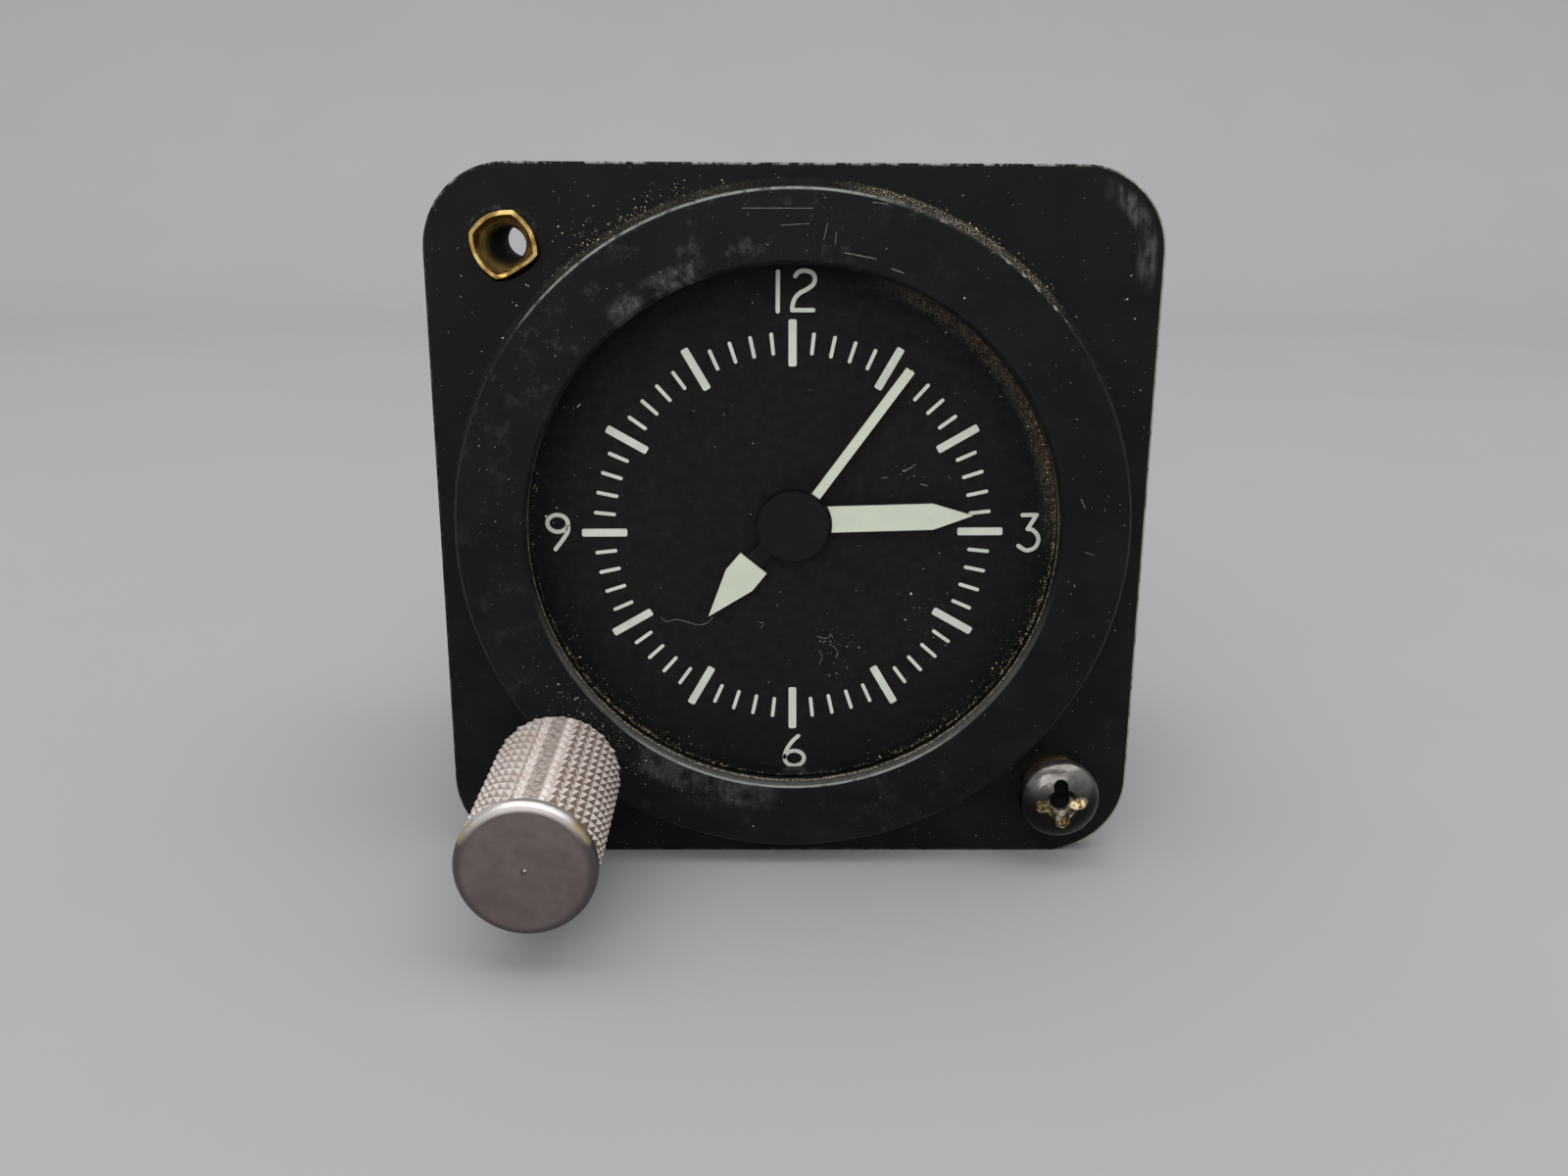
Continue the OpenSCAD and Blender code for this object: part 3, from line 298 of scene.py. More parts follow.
def black_paint():
    """Worn black paint of the flange and the ring: chalk, chipped edges, dust where it settles."""
    g = Graph("black_paint")
    r, a = g.radius(), g.clock_angle()
    # distances from the ring's wall, from the window's edge, behind the ring's front, and
    # from the flange's edge, which is negative on the flange
    out, win = g.sub(r, RING_R), g.sub(r, WINDOW_R)
    depth = g.add(g.y, RING_H)
    edge = g.sub(g.rounded_square(FLANGE_W / 2 - CORNER_R), CORNER_R)
    face = g.step(g.y, 0.7, 0.4)
    front = g.step(g.y, 0.3, 0.12)
    right = g.step(g.x, 24, 27)
    cloud = g.noise(0.22, 4.0)
    col = g.mix(g.step(cloud, 0.35, 0.7), PAINT_LOW, PAINT_HIGH)

    # chalky rubs on the ring, on the upper right corner and above the open insert nut
    chalk = g.step(g.noise(1.4, 6.0, 0.75, stretch=(1.3, 1, 0.8)), 0.36, 0.72)
    patch = g.step(g.noise(0.55, 3.0, 0.6, offset=15), 0.36, 0.6)
    upper = g.mul(g.band(win, 0.1, 1.2, 1.0), g.band(a, -37, -21, 4),
                  patch, g.add(g.mul(chalk, 0.9), 0.1))
    lower = g.mul(g.band(win, 0.4, 2.1, 0.8), g.band(a, -172, -150, 7),
                  patch, g.add(g.mul(chalk, 0.4), 0.15))
    haze = g.mul(g.band(win, 0.2, 5.6, 0.6),
                 g.step(g.noise(0.5, 6.0, 0.75, offset=9), 0.52, 0.75),
                 g.step(g.z, 4, 20, 0.12, 0.4), g.rest(g.mul(g.band(a, 28, 130, 14), 0.8)))
    streak = g.noise(0.75, 6.0, 0.7, stretch=(1.5, 1, 0.6), offset=5)
    corner = g.mul(g.band(edge, -1.9, -1.1, 0.6), right, g.step(g.z, 19.5, 23), face,
                   g.step(streak, 0.42, 0.66, 0.05, 0.8))
    smear = g.mul(g.band(g.radius(-HOLE, HOLE), 2.9, 3.1, 0.3), face,
                  g.step(g.z, HOLE - 0.5, HOLE + 2.2),
                  g.step(g.noise(0.9, 5.0, 0.7, offset=12), 0.48, 0.66, 0.0, 0.7))
    rubs = g.top(upper, lower, haze, corner, smear)
    col = g.mix(g.mul(rubs, 0.5), col, srgb(122, 124, 120))

    # dust on the upward side of the ring and around it
    wall = g.mul(g.band(out, -0.15, 0.2, 0.1), g.band(depth, 0.3, 3.0, 0.1))
    foot = g.mul(g.band(out, -0.1, 0.45, 0.25), face, g.step(g.y, -0.3, -0.1))
    where = g.top(g.band(a, 17, 40, 12), g.mul(g.band(a, -40, -14, 10), 0.25))
    where = g.mul(where, g.step(g.noise(0.7, 4.0, 0.7, offset=22), 0.36, 0.6, 0.4, 1.0))
    grain = g.step(g.noise(8.0, 2.0, 0.6), 0.47, 0.58)
    dust = g.mul(g.top(wall, foot), g.add(g.mul(where, 0.95), 0.05), grain)
    tone = g.mix(g.step(g.noise(9.0, 2.0, 0.5, offset=6), 0.4, 0.6),
                 srgb(104, 90, 64), srgb(220, 210, 182))
    col = g.mix(g.mul(dust, 0.8), col, tone)

    # fine specks all over, and grit beside the knob
    lots = g.mul(g.specks(1.3, 0.07), g.step(g.noise(0.13, 3.0, 0.6, offset=4), 0.4, 0.6))
    col = g.mix(g.mul(lots, 0.5), col, srgb(176, 172, 150))
    grit = g.mul(g.specks(2.6, 0.16, 9), g.step(g.radius(-14.5, -15.0), 9.0, 3.0),
                 g.step(g.noise(0.6, 4.0, 0.7, offset=18), 0.42, 0.62))
    col = g.mix(g.mul(grit, 0.55), col, srgb(176, 168, 122))

    # window edge: dull bare metal that faces up, dust in its upper part
    inside = g.step(win, 0.35, 0.26)
    shelf = g.mul(inside, g.step(g.z, -3, -14), g.step(depth, 0.85, 0.7),
                  g.step(g.noise(2.2, 4.0, 0.7, offset=8), 0.3, 0.7, 0.5, 0.9))
    col = g.mix(shelf, col, srgb(84, 82, 78))
    seam = g.mul(inside, g.band(depth, 0.78, 1.1, 0.08), g.step(g.z, 14, 2),
                 g.step(g.noise(4.0, 3.0, 0.7, offset=11), 0.44, 0.56))
    col = g.mix(g.mul(seam, 0.85), col, tone)

    # bare metal: a line on the ring's outer edge, mostly along its top, the window's lower
    # front edge, and chips along the flange's edges
    nicks = g.mul(g.band(a, 10, 50, 3), g.step(g.noise(1.5, 3.0, 0.6, offset=17), 0.56, 0.62))
    line = g.mul(g.band(out, -0.2, -0.06, 0.06), g.step(depth, 0.34, 0.24),
                 g.top(g.add(g.mul(g.band(a, -44, 8, 12), 0.66), 0.04), g.mul(nicks, 0.9)),
                 g.step(g.noise(1.1, 5.0, 0.7, offset=2), 0.36, 0.52, 0.25, 1.0))
    rim = g.mul(g.band(win, 0.2, 0.35, 0.05), g.step(depth, 0.14, 0.06), g.step(g.z, -16, -20.5),
                g.step(g.noise(0.9, 4.0, 0.7, offset=6), 0.32, 0.5, 0.2, 0.7))
    chips = g.mul(g.step(edge, -0.22, -0.1), front,
                  g.step(g.noise(1.2, 6.0, 0.75, offset=3), 0.47, 0.58),
                  g.step(g.z, 25, 29.5, 0.12, 1.0))
    col = g.mix(g.mul(g.top(line, rim, chips), 0.8), col, srgb(168, 170, 164))
    side = g.mul(g.step(edge, -0.18, -0.12), right, front,
                 g.step(g.noise(0.7, 4.0, 0.7, offset=13), 0.3, 0.55, 0.25, 0.8))
    col = g.mix(g.mul(side, 0.7), col, srgb(190, 190, 168))

    g.set(Base_Color=col, Specular_IOR_Level=0.13)
    g.set(Roughness=g.step(cloud, 0.3, 0.7, 0.46, 0.58))
    g.bump(g.add(g.mul(g.noise(5.0, 3.0), 0.5), g.mul(dust, 0.9), g.mul(chips, -1.5)), 0.025, 0.5)
    return g.mat


def plain_black(name, low, high, grain):
    """Dull black surface without wear."""
    g = Graph(name)
    cloud = g.noise(0.3, 4.0)
    g.set(Base_Color=g.mix(g.step(cloud, 0.3, 0.7), low, high), Specular_IOR_Level=0.3)
    g.set(Roughness=g.step(g.noise(1.5, 3.0, offset=3), 0.3, 0.7, 0.74, 0.86))
    g.bump(g.noise(6.0, 3.0), 0.012, grain)
    return g.mat


def case_paint():
    """Black paint of the can and its cover: rubbed along its length, chipped on the rear rim."""
    g = Graph("case_paint")
    col = g.mix(g.step(g.noise(0.3, 4.0), 0.3, 0.7), srgb(18, 18, 18), srgb(28, 28, 27))
    rub = g.step(g.noise(0.45, 6.0, 0.75, stretch=(1, 0.4, 1), offset=21), 0.54, 0.78)
    col = g.mix(g.mul(rub, 0.3), col, srgb(92, 94, 91))
    rim = g.step(g.add(g.sub(g.radius(), COVER_R), g.sub(g.y, COVER_Y)), -0.85, -0.65)
    rim = g.mul(rim, g.step(g.noise(0.8, 5.0, 0.7, offset=22), 0.44, 0.57, 0.08, 0.8))
    col = g.mix(rim, col, srgb(148, 148, 142))
    few = g.mul(g.specks(0.9, 0.08, 7), g.step(g.noise(0.15, 3.0, 0.6, offset=23), 0.42, 0.6))
    col = g.mix(g.mul(few, 0.5), col, srgb(170, 165, 148))
    g.set(Base_Color=col, Specular_IOR_Level=0.3)
    g.set(Roughness=g.step(g.noise(1.5, 3.0, offset=3), 0.3, 0.7, 0.44, 0.56))
    g.bump(g.add(g.noise(6.0, 3.0), g.mul(rim, -1.0)), 0.014, 0.5)
    return g.mat


def lume():
    """Pale paint of the dial marks."""
    g = Graph("dial_lume")
    lit = tuple(min(1.0, v * 1.04) for v in LUME_TONE)
    dim = tuple(v * 0.94 for v in LUME_TONE)
    g.set(Base_Color=g.mix(g.step(g.noise(0.5, 3.0), 0.35, 0.65), dim, lit))
    g.set(Roughness=0.62, Specular_IOR_Level=0.25)
    g.bump(g.noise(9.0, 3.0), 0.008, 0.4)
    return g.mat


def hand_paint(name, start, along=None):
    """Black near the hub and pale beyond start, measured along a clock angle or else all around."""
    g = Graph(name)
    if along is None:
        reach = g.radius()
    else:
        s, c = math.sin(math.radians(along)), math.cos(math.radians(along))
        reach = g.add(g.mul(g.x, s), g.mul(g.z, c))
    pale = g.step(reach, start - 0.03, start + 0.03)
    cloud = g.step(g.noise(0.5, 3.0), 0.35, 0.65)
    lit = g.mix(cloud, tuple(v * 0.96 for v in HAND_TONE), HAND_TONE)
    rings = g.step(g.math("SINE", g.mul(g.radius(), 7.4)), 0.93, 1.0)
    dark = g.mix(g.mul(rings, 0.5), srgb(9, 8, 9), srgb(26, 25, 26))
    g.set(Base_Color=g.mix(pale, dark, lit), Specular_IOR_Level=0.2)
    g.set(Roughness=g.step(reach, start - 0.03, start + 0.03, 0.5, 0.62))
    return g.mat


def metal(name, low, high, rough):
    """Turned metal of the movement."""
    g = Graph(name)
    lines = g.noise(2.5, 4.0, 0.6, stretch=(1, 6, 1))
    g.set(Base_Color=g.mix(g.step(g.noise(0.35, 4.0), 0.3, 0.7), low, high), Metallic=1.0)
    g.set(Roughness=g.step(lines, 0.3, 0.7, rough - 0.07, rough + 0.07))
    g.bump(lines, 0.012, 0.4)
    return g.mat


def knob_metal():
    """Worn nickel over brass: bright points, brown in the knurl's grooves, a dull front, with
    painted shade on the forward facets and a painted highlight atop the front's rim.
    """
    g = Graph("knob_nickel")
    r = g.radius(KNOB_X, KNOB_Z)
    dx, dz = g.sub(g.x, KNOB_X), g.sub(g.z, KNOB_Z)
    turn = g.bearing(dz, dx)
    ahead = g.sub(KNURL_FRONT, g.y)
    front = g.step(ahead, -0.1, 0.2)
    nickel = g.mix(g.step(g.noise(0.45, 4.0), 0.35, 0.65),
                   srgb(236, 220, 210), srgb(250, 240, 233))

    # painted shade: the facets that look forward are painted dark brown, less so on the left and
    # not on the worn strip; brown in the grooves
    facet = g.split(g.coord.outputs["Normal"])
    painted_facet_shade = g.mul(g.step(facet[1], -0.25, -0.5), g.step(dx, -2.5, 1.0, 0.68, 0.9),
                  g.rest(g.band(turn, STRIP[0] - 4, STRIP[1] + 6, 4.0)))
    col = g.mix(painted_facet_shade, nickel, srgb(84, 60, 50))
    groove = g.mix(g.step(g.noise(1.3, 3.0, offset=3), 0.35, 0.65),
                   srgb(96, 72, 58), srgb(134, 108, 92))
    tip = g.top(g.step(r, KNOB_R - 0.46, KNOB_R - 0.32),
                g.band(turn, STRIP[0] - 7, STRIP[1] + 7, 3.0))
    col = g.mix(g.mul(g.rest(front), g.rest(tip), 0.42), col, groove)

    # flat worn strip along the top, greyer than the points
    strip = g.mul(g.band(turn, STRIP[0], STRIP[1], 3.0), g.rest(front))
    mottle = g.mix(g.step(g.noise(2.4, 5.0, 0.7, offset=4), 0.35, 0.65),
                   srgb(170, 155, 145), srgb(218, 204, 194))
    col = g.mix(strip, col, mottle)

    # the front is dull and dark, with a painted highlight on the upper part of its rounded edge,
    # and brass shows where that edge has worn
    cap = g.mix(g.step(g.noise(0.6, 4.0, offset=7), 0.3, 0.7),
                srgb(104, 93, 91), srgb(116, 105, 103))
    cap = g.mix(g.step(r, 4.5, 5.2), cap, srgb(88, 80, 80))
    # painted highlight: near-white colour on the upper part of the front's rounded edge
    painted_rim_highlight = g.mul(g.step(r, 4.8, 5.4), g.step(dz, 1.8, 4.2))
    col = g.mix(front, col, g.mix(painted_rim_highlight, cap, srgb(224, 218, 214)))
    rim = g.mul(g.band(ahead, 0.4, 1.05, 0.15), g.step(r, 5.0, 5.2),
                g.step(g.math("ABSOLUTE", g.sub(dx, 0.4)), 2.7, 3.5), g.band(dz, 2.6, 3.6, 0.7),
                g.step(g.noise(0.9, 4.0, offset=5), 0.36, 0.52))
    col = g.mix(g.mul(rim, 0.75), col, srgb(196, 162, 104))
    pip = g.mul(g.step(g.radius(KNOB_X + 0.03, KNOB_Z + 0.05), 0.12, 0.08),
                g.step(ahead, 1.0, 1.1))
    col = g.mix(pip, col, srgb(238, 234, 230))

    g.set(Base_Color=col)
    g.set(Metallic=g.step(front, 0.0, 1.0, 0.22, 0.74))
    g.set(Roughness=g.step(g.mul(front, painted_rim_highlight), 0.0, 1.0, 0.48, 0.3))
    pits = g.mul(strip, g.noise(3.2, 4.0, 0.7, offset=8), 2.0)
    g.bump(g.add(g.noise(7.0, 4.0), pits), 0.02, 0.5)
    return g.mat


def insert_metal():
    """Brass insert nut: bright squeezed lip, with the lower right nut's lip painted brighter as
    light, and painted shade deep inside.
    """
    g = Graph("insert_brass")
    r = g.length(g.sub(g.math("ABSOLUTE", g.x), HOLE), g.sub(g.math("ABSOLUTE", g.z), HOLE))
    lip = g.step(g.y, -0.55, -0.78)
    inner = g.mul(g.step(r, THROAT_R + 0.15, THROAT_R + 0.05), g.step(g.y, 3.0, 2.6))
    deep = g.mul(g.step(g.y, 0.5, 2.4), g.top(inner, g.step(r, BORE_R + 0.18, BORE_R + 0.08)))
    bright = g.mix(g.step(g.noise(0.8, 4.0), 0.35, 0.65), srgb(166, 130, 66), srgb(222, 190, 122))
    # painted light: the lip of the lower right nut, under the screw head, is painted brighter
    bright = g.mix(g.step(g.x, 0, 1), bright, srgb(246, 214, 140))
    # painted shade: deep in the bore and throat the brass is painted near black
    painted_bore_shade = g.mix(g.step(g.noise(1.2, 4.0, stretch=(1, 0.25, 1), offset=2), 0.35, 0.65),
                  srgb(12, 9, 6), srgb(34, 26, 15))
    throat = g.mix(g.step(g.noise(0.9, 4.0, offset=6), 0.35, 0.65),
                   srgb(122, 98, 52), srgb(178, 148, 88))
    soiled = g.mul(inner, g.rest(lip), 0.5)
    g.set(Base_Color=g.mix(lip, g.mix(deep, throat, painted_bore_shade), bright))
    g.set(Metallic=g.sub(0.95, g.top(g.mul(deep, 0.85), soiled)))
    g.set(Roughness=g.add(g.step(g.noise(2.0, 4.0, offset=4), 0.3, 0.7, 0.26, 0.4),
                          g.mul(deep, 0.5)))
    g.bump(g.noise(2.2, 4.0, offset=3), 0.06, 0.5)
    return g.mat


def screw_black():
    """Blackened steel, painted lighter on the head's upper part as light from above, with its
    recess painted near black as shade and bare metal from wear shown in the recess's lower part,
    painted only where light falls.
    """
    g = Graph("screw_black")
    r = g.radius(HOLE, -HOLE)
    crown = g.add(SCREW_TOP, g.mul(r, r, SCREW_DOME))
    deep = g.mul(g.step(g.sub(g.y, crown), 0.06, 0.16), g.step(r, 2.75, 2.5))
    low = g.mul(g.step(g.z, -HOLE + 0.5, -HOLE - 0.1), g.step(r, 0.75, 1.15))
    cloud = g.step(g.noise(0.8, 4.0), 0.35, 0.65)
    # painted light: the upper part of the head is painted lighter grey
    painted_head_light = g.mul(g.step(g.z, -HOLE - 0.2, -HOLE + 3.0), g.add(g.mul(cloud, 0.5), 0.5))
    col = g.mix(painted_head_light, srgb(36, 34, 34), srgb(142, 138, 133))
    brassy = g.mix(g.step(g.noise(1.6, 4.0, offset=2), 0.4, 0.6),
                   srgb(92, 80, 60), srgb(222, 213, 188))
    # painted shade: the recess is painted near black
    col = g.mix(deep, col, srgb(10, 9, 9))
    # bare metal from wear in the recess, painted only in its lower part where light falls: partly
    # wear, partly painted light
    col = g.mix(g.mul(deep, low), col, brassy)
    dull = g.mul(deep, g.rest(low))
    g.set(Base_Color=col, Metallic=g.sub(0.9, g.mul(dull, 0.9)), Specular_IOR_Level=0.1)
    g.set(Roughness=g.add(g.step(g.noise(2.0, 4.0, offset=4), 0.3, 0.7, 0.16, 0.26),
                          g.mul(dull, 0.6)))
    g.bump(g.add(g.noise(1.8, 4.0), g.mul(g.noise(6.0, 3.0), 0.3)), 0.03, 0.5)
    return g.mat


def clear_glass():
    """Thin clear glass that mirrors at low angles, with a faint film of dust."""
    g = Graph("face_glass")
    nodes, links = g.nodes, g.links
    nodes.remove(g.bsdf)
    clear = nodes.new("ShaderNodeBsdfTransparent")
    clear.inputs["Color"].default_value = (0.98, 0.985, 0.98, 1)
    gloss = nodes.new("ShaderNodeBsdfGlossy")
    gloss.inputs["Roughness"].default_value = 0.02
    gloss.inputs["Color"].default_value = (1.0, 1.0, 0.98, 1)
    facing = nodes.new("ShaderNodeLayerWeight")
    facing.inputs["Blend"].default_value = 0.5
    slant = g.math("POWER", facing.outputs["Facing"], 5.0)
    pane = nodes.new("ShaderNodeMixShader")
    links.new(g.top(g.sub(g.mul(slant, 0.9), 0.004), 0.0), pane.inputs[0])
    links.new(clear.outputs[0], pane.inputs[1])
    links.new(gloss.outputs[0], pane.inputs[2])
    # brown dirt along the upper right of the window, specks and a thin film elsewhere
    brown = g.mul(g.step(g.radius(), 20.9, 22.2), g.band(g.clock_angle(), 32, 78, 20),
                  g.step(g.noise(3.4, 5.0, 0.8, offset=3), 0.42, 0.62))
    dirt = nodes.new("ShaderNodeBsdfDiffuse")
    g.plug(dirt.inputs["Color"], g.mix(brown, srgb(150, 146, 132), srgb(124, 92, 58)))
    few = g.mul(g.specks(0.9, 0.05, 5), g.step(g.noise(0.16, 3.0, 0.6, offset=8), 0.44, 0.62))
    film = g.mul(g.step(g.noise(0.5, 5.0, 0.7, offset=1), 0.55, 0.8), 0.012)
    dusty = nodes.new("ShaderNodeMixShader")
    links.new(g.top(g.mul(few, 0.5), film, g.mul(brown, 0.26)), dusty.inputs[0])
    links.new(pane.outputs[0], dusty.inputs[1])
    links.new(dirt.outputs[0], dusty.inputs[2])
    links.new(dusty.outputs[0], g.out.inputs["Surface"])
    return g.mat


def dust_tone(name, low, high):
    """Dull material of loose dust and hairs."""
    g = Graph(name)
    g.set(Base_Color=g.mix(g.step(g.noise(2.5, 3.0), 0.35, 0.65), low, high))
    g.set(Roughness=0.9, Specular_IOR_Level=0.1)
    return g.mat


# Mesh helpers

def shown(name, data):
    """New object in the scene."""
    obj = bpy.data.objects.new(name, data)
    bpy.context.scene.collection.objects.link(obj)
    return obj


def finish_mesh(mesh, angle):
    """Welds and orients a mesh, and shades it smooth up to an angle."""
    bm = bmesh.new()
    bm.from_mesh(mesh)
    bmesh.ops.remove_doubles(bm, verts=bm.verts, dist=2e-7)
    bmesh.ops.recalc_face_normals(bm, faces=bm.faces)
    limit = math.radians(angle)
    for f in bm.faces:
        f.smooth = True
    for e in bm.edges:
        e.smooth = len(e.link_faces) == 2 and e.calc_face_angle(0.0) < limit
    bm.to_mesh(mesh)
    bm.free()


def new_piece(name, verts, faces, material, body, smooth=30.0):
    """Piece of the scene alone, fixed to a body."""
    mesh = bpy.data.meshes.new(name)
    mesh.from_pydata([tuple(v) for v in verts], [], faces)
    mesh.materials.append(material)
    obj = shown(name, mesh)
    finish_mesh(mesh, smooth)
    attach(obj, body)


def dressed(node, body, material, bevel, smooth=30.0, segments=3, mesh=None):
    """Copy of a CAD node with softly rounded edges, shown in its place."""
    if mesh is None:
        mesh = NODES[node].data.copy()
    mesh.name = node + "_shell"
    layer = mesh.attributes.get("custom_normal")
    if layer:
        mesh.attributes.remove(layer)
    mesh.materials.clear()
    mesh.materials.append(material)
    finish_mesh(mesh, smooth)
    bm = bmesh.new()
    bm.from_mesh(mesh)
    bmesh.ops.dissolve_limit(bm, angle_limit=math.radians(0.4), verts=bm.verts, edges=bm.edges)
    bm.to_mesh(mesh)
    bm.free()
    obj = shown(node + "_shell", mesh)
    mod = obj.modifiers.new("soft_edges", "BEVEL")
    mod.width = bevel * MM
    mod.segments = segments
    mod.limit_method = "ANGLE"
    mod.angle_limit = math.radians(smooth)
    mod.harden_normals = True
    mod.use_clamp_overlap = True
    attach(obj, body)
    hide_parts(node)


def prism(outline, y0, y1):
    """Closed flat piece from an outline of x, z points."""
    n = len(outline)
    verts = [at(x, y, z) for y in (y0, y1) for x, z in outline]
    faces = [tuple(range(n - 1, -1, -1)), tuple(range(n, 2 * n))]
    faces += [(i, (i + 1) % n, n + (i + 1) % n, n + i) for i in range(n)]
    return verts, faces


def merged(parts):
    """One list of vertices and one of faces from several."""
    verts, faces = [], []
    for v, f in parts:
        base = len(verts)
        verts += v
        faces += [tuple(i + base for i in face) for face in f]
    return verts, faces


def capsule(p, q, w, round_share=1.0, steps=6):
    """Outline of a bar from p to q whose ends are rounded."""
    ax, az = q[0] - p[0], q[1] - p[1]
    d = math.hypot(ax, az)
    ux, uz = ax / d, az / d
    vx, vz = -uz, ux
    h = w / 2
    cut = h * round_share
    out = []
    for end, sign in ((q, 1), (p, -1)):
        cx, cz = end[0] - sign * ux * cut, end[1] - sign * uz * cut
        for corner in (-1, 1):
            for i in range(steps + 1):
                t = math.radians(90) * i / steps
                if corner < 0:
                    a, b = math.sin(t), -math.cos(t)
                else:
                    a, b = math.cos(t), math.sin(t)
                side = b * cut + corner * (h - cut)
                out.append((cx + sign * (ux * a * cut + vx * side),
                            cz + sign * (uz * a * cut + vz * side)))
    return out


def smooth_path(points, per):
    """Curve through points, in per steps from each to the next."""
    out = []
    n = len(points)
    for i in range(n - 1):
        p0, p1 = points[max(i - 1, 0)], points[i]
        p2, p3 = points[i + 1], points[min(i + 2, n - 1)]
        for k in range(per):
            t = k / per
            out.append(tuple(0.5 * (2 * b + (c - a) * t + (2 * a - 5 * b + 4 * c - d) * t * t
                                    + (3 * b - a - 3 * c + d) * t ** 3)
                             for a, b, c, d in zip(p0, p1, p2, p3)))
    out.append(points[-1])
    return out


def clock_point(r, a):
    """Point at a radius and a clock angle in degrees."""
    t = math.radians(a)
    return r * math.sin(t), r * math.cos(t)


def oval(cx, cz, rx, rz):
    """Closed path around an oval."""
    turns = [math.radians(t) for t in range(0, 361, 20)]
    return [(cx + rx * math.cos(t), cz + rz * math.sin(t)) for t in turns]


# Worn copies of CAD nodes

def worn_knob(material):
    """Copy of the knob whose knurl is rubbed flat along one strip, with softened points."""
    mesh = NODES["knob"].data.copy()
    rng = random.Random(11)
    axis = at(KNOB_X, 0, KNOB_Z)
    flat = KNOB_R - 0.17
    for v in mesh.vertices:
        dx, dz = (v.co.x - axis.x) / MM, (v.co.z - axis.z) / MM
        y = (v.co.y - ORIGIN.y) / MM
        r, t = math.hypot(dx, dz), math.degrees(math.atan2(dz, dx))
        if not (KNURL_FRONT < y < KNURL_BACK and r > KNOB_R - 0.45):
            continue
        far = max(STRIP[0] - t, t - STRIP[1], 0.0)
        wear = max(0.0, 1.0 - far / 9.0) * (0.75 + 0.25 * rng.random())
        jitter = rng.uniform(-0.025, 0.0)
        new = r + (flat - r) * wear + (jitter if r > KNOB_R - 0.1 else 0.0)
        v.co.x, v.co.z = axis.x + dx / r * new * MM, axis.z + dz / r * new * MM
    dressed("knob", "knob", material, bevel=0.018, smooth=12.0, segments=1, mesh=mesh)


def peened_inserts(material):
    """Copy of the insert nuts whose mouths are hammered a little out of true."""
    mesh = NODES["insert_nuts"].data.copy()
    rng = random.Random(31)
    first, count = DRAWN[0][0], len(DRAWN)
    apart = 360 / count
    for v in mesh.vertices:
        x, y, z = face_place(v.co)
        side = -1 if x < 0 else 1
        dx, dz = x - side * HOLE, z + side * HOLE
        r = math.hypot(dx, dz)
        throat = r < THROAT_R + 0.05
        if throat and abs(y - MOUTH_FLOOR) < 0.03:
            # the throat's edge is set back, so that the mouth opens like a funnel
            v.co.y += 1.1 * MM
        if throat or y > MOUTH_FLOOR + 0.05:
            continue
        t = math.degrees(math.atan2(dz, dx))
        while t < first:
            t += 360
        i = min(int((t - first) // apart), count - 1)
        u = (t - first) / apart - i
        j = (i + 1) % count
        a, b = HAMMERED[i], HAMMERED[j]
        turn = math.radians(a[0] + u * (b[0] + (0 if j else 360) - a[0]))
        new = r * (a[1] / DRAWN[i][1] * (1 - u) + b[1] / DRAWN[j][1] * u)
        v.co.x = ORIGIN.x + (side * HOLE + new * math.cos(turn)) * MM
        v.co.z = ORIGIN.z + (-side * HOLE + new * math.sin(turn)) * MM
        if y < -0.6:
            v.co.y += rng.uniform(0.0, 0.09) * MM
    dressed("insert_nuts", "case", material, bevel=0.06, smooth=20.0, segments=2,
            mesh=mesh)


def worn_screw(material):
    """Copy of the screw whose recess has been widened by wear."""
    mesh = NODES["mounting_screw"].data.copy()
    for v in mesh.vertices:
        x, y, z = face_place(v.co)
        dx, dz = x - HOLE, z + HOLE
        r = math.hypot(dx, dz)
        if y > SCREW_TOP + 2.2 or r > 2.8:
            continue
        u = min(max((r - 1.9) / 0.9, 0.0), 1.0)
        grow = 1 + 0.2 * (1 - u * u * (3 - 2 * u))
        v.co.x = ORIGIN.x + (HOLE + dx * grow) * MM
        v.co.z = ORIGIN.z + (dz * grow - HOLE) * MM
        v.co.y += SCREW_DOME * r * r * (grow * grow - 1) * MM
    dressed("mounting_screw", "case", material, bevel=0.1, mesh=mesh)


# Dial print

def dial_marks(material):
    """The sixty ticks."""
    parts = []
    for i in range(60):
        length, width, rounding = MINOR_TICK if i % 5 else MAJOR_TICK
        ends = []
        for r in (TICK_MID - length / 2, TICK_MID + length / 2):
            x, z = clock_point(r, 6 * i + TICK_TURN)
            ends.append((PRINT_X + x, PRINT_Z + z))
        parts.append(prism(capsule(*ends, width, rounding, 4), PRINT_FRONT, PRINT_BACK))
    verts, faces = merged(parts)
    new_piece("dial_ticks", verts, faces, material, "case")


def stroke_parts(points, width, layer):
    """Round-ended stroke made of overlapping capsules, whose fronts differ a little."""
    parts = []
    for k, (p, q) in enumerate(zip(points, points[1:])):
        ax, az = q[0] - p[0], q[1] - p[1]
        d = math.hypot(ax, az) or 1e-9
        ex, ez = ax / d * width / 2, az / d * width / 2
        front = PRINT_FRONT - 0.0008 * ((k + layer) % 3)
        outline = capsule((p[0] - ex, p[1] - ez), (q[0] + ex, q[1] + ez), width)
        parts.append(prism(outline, front, PRINT_BACK))
    return parts


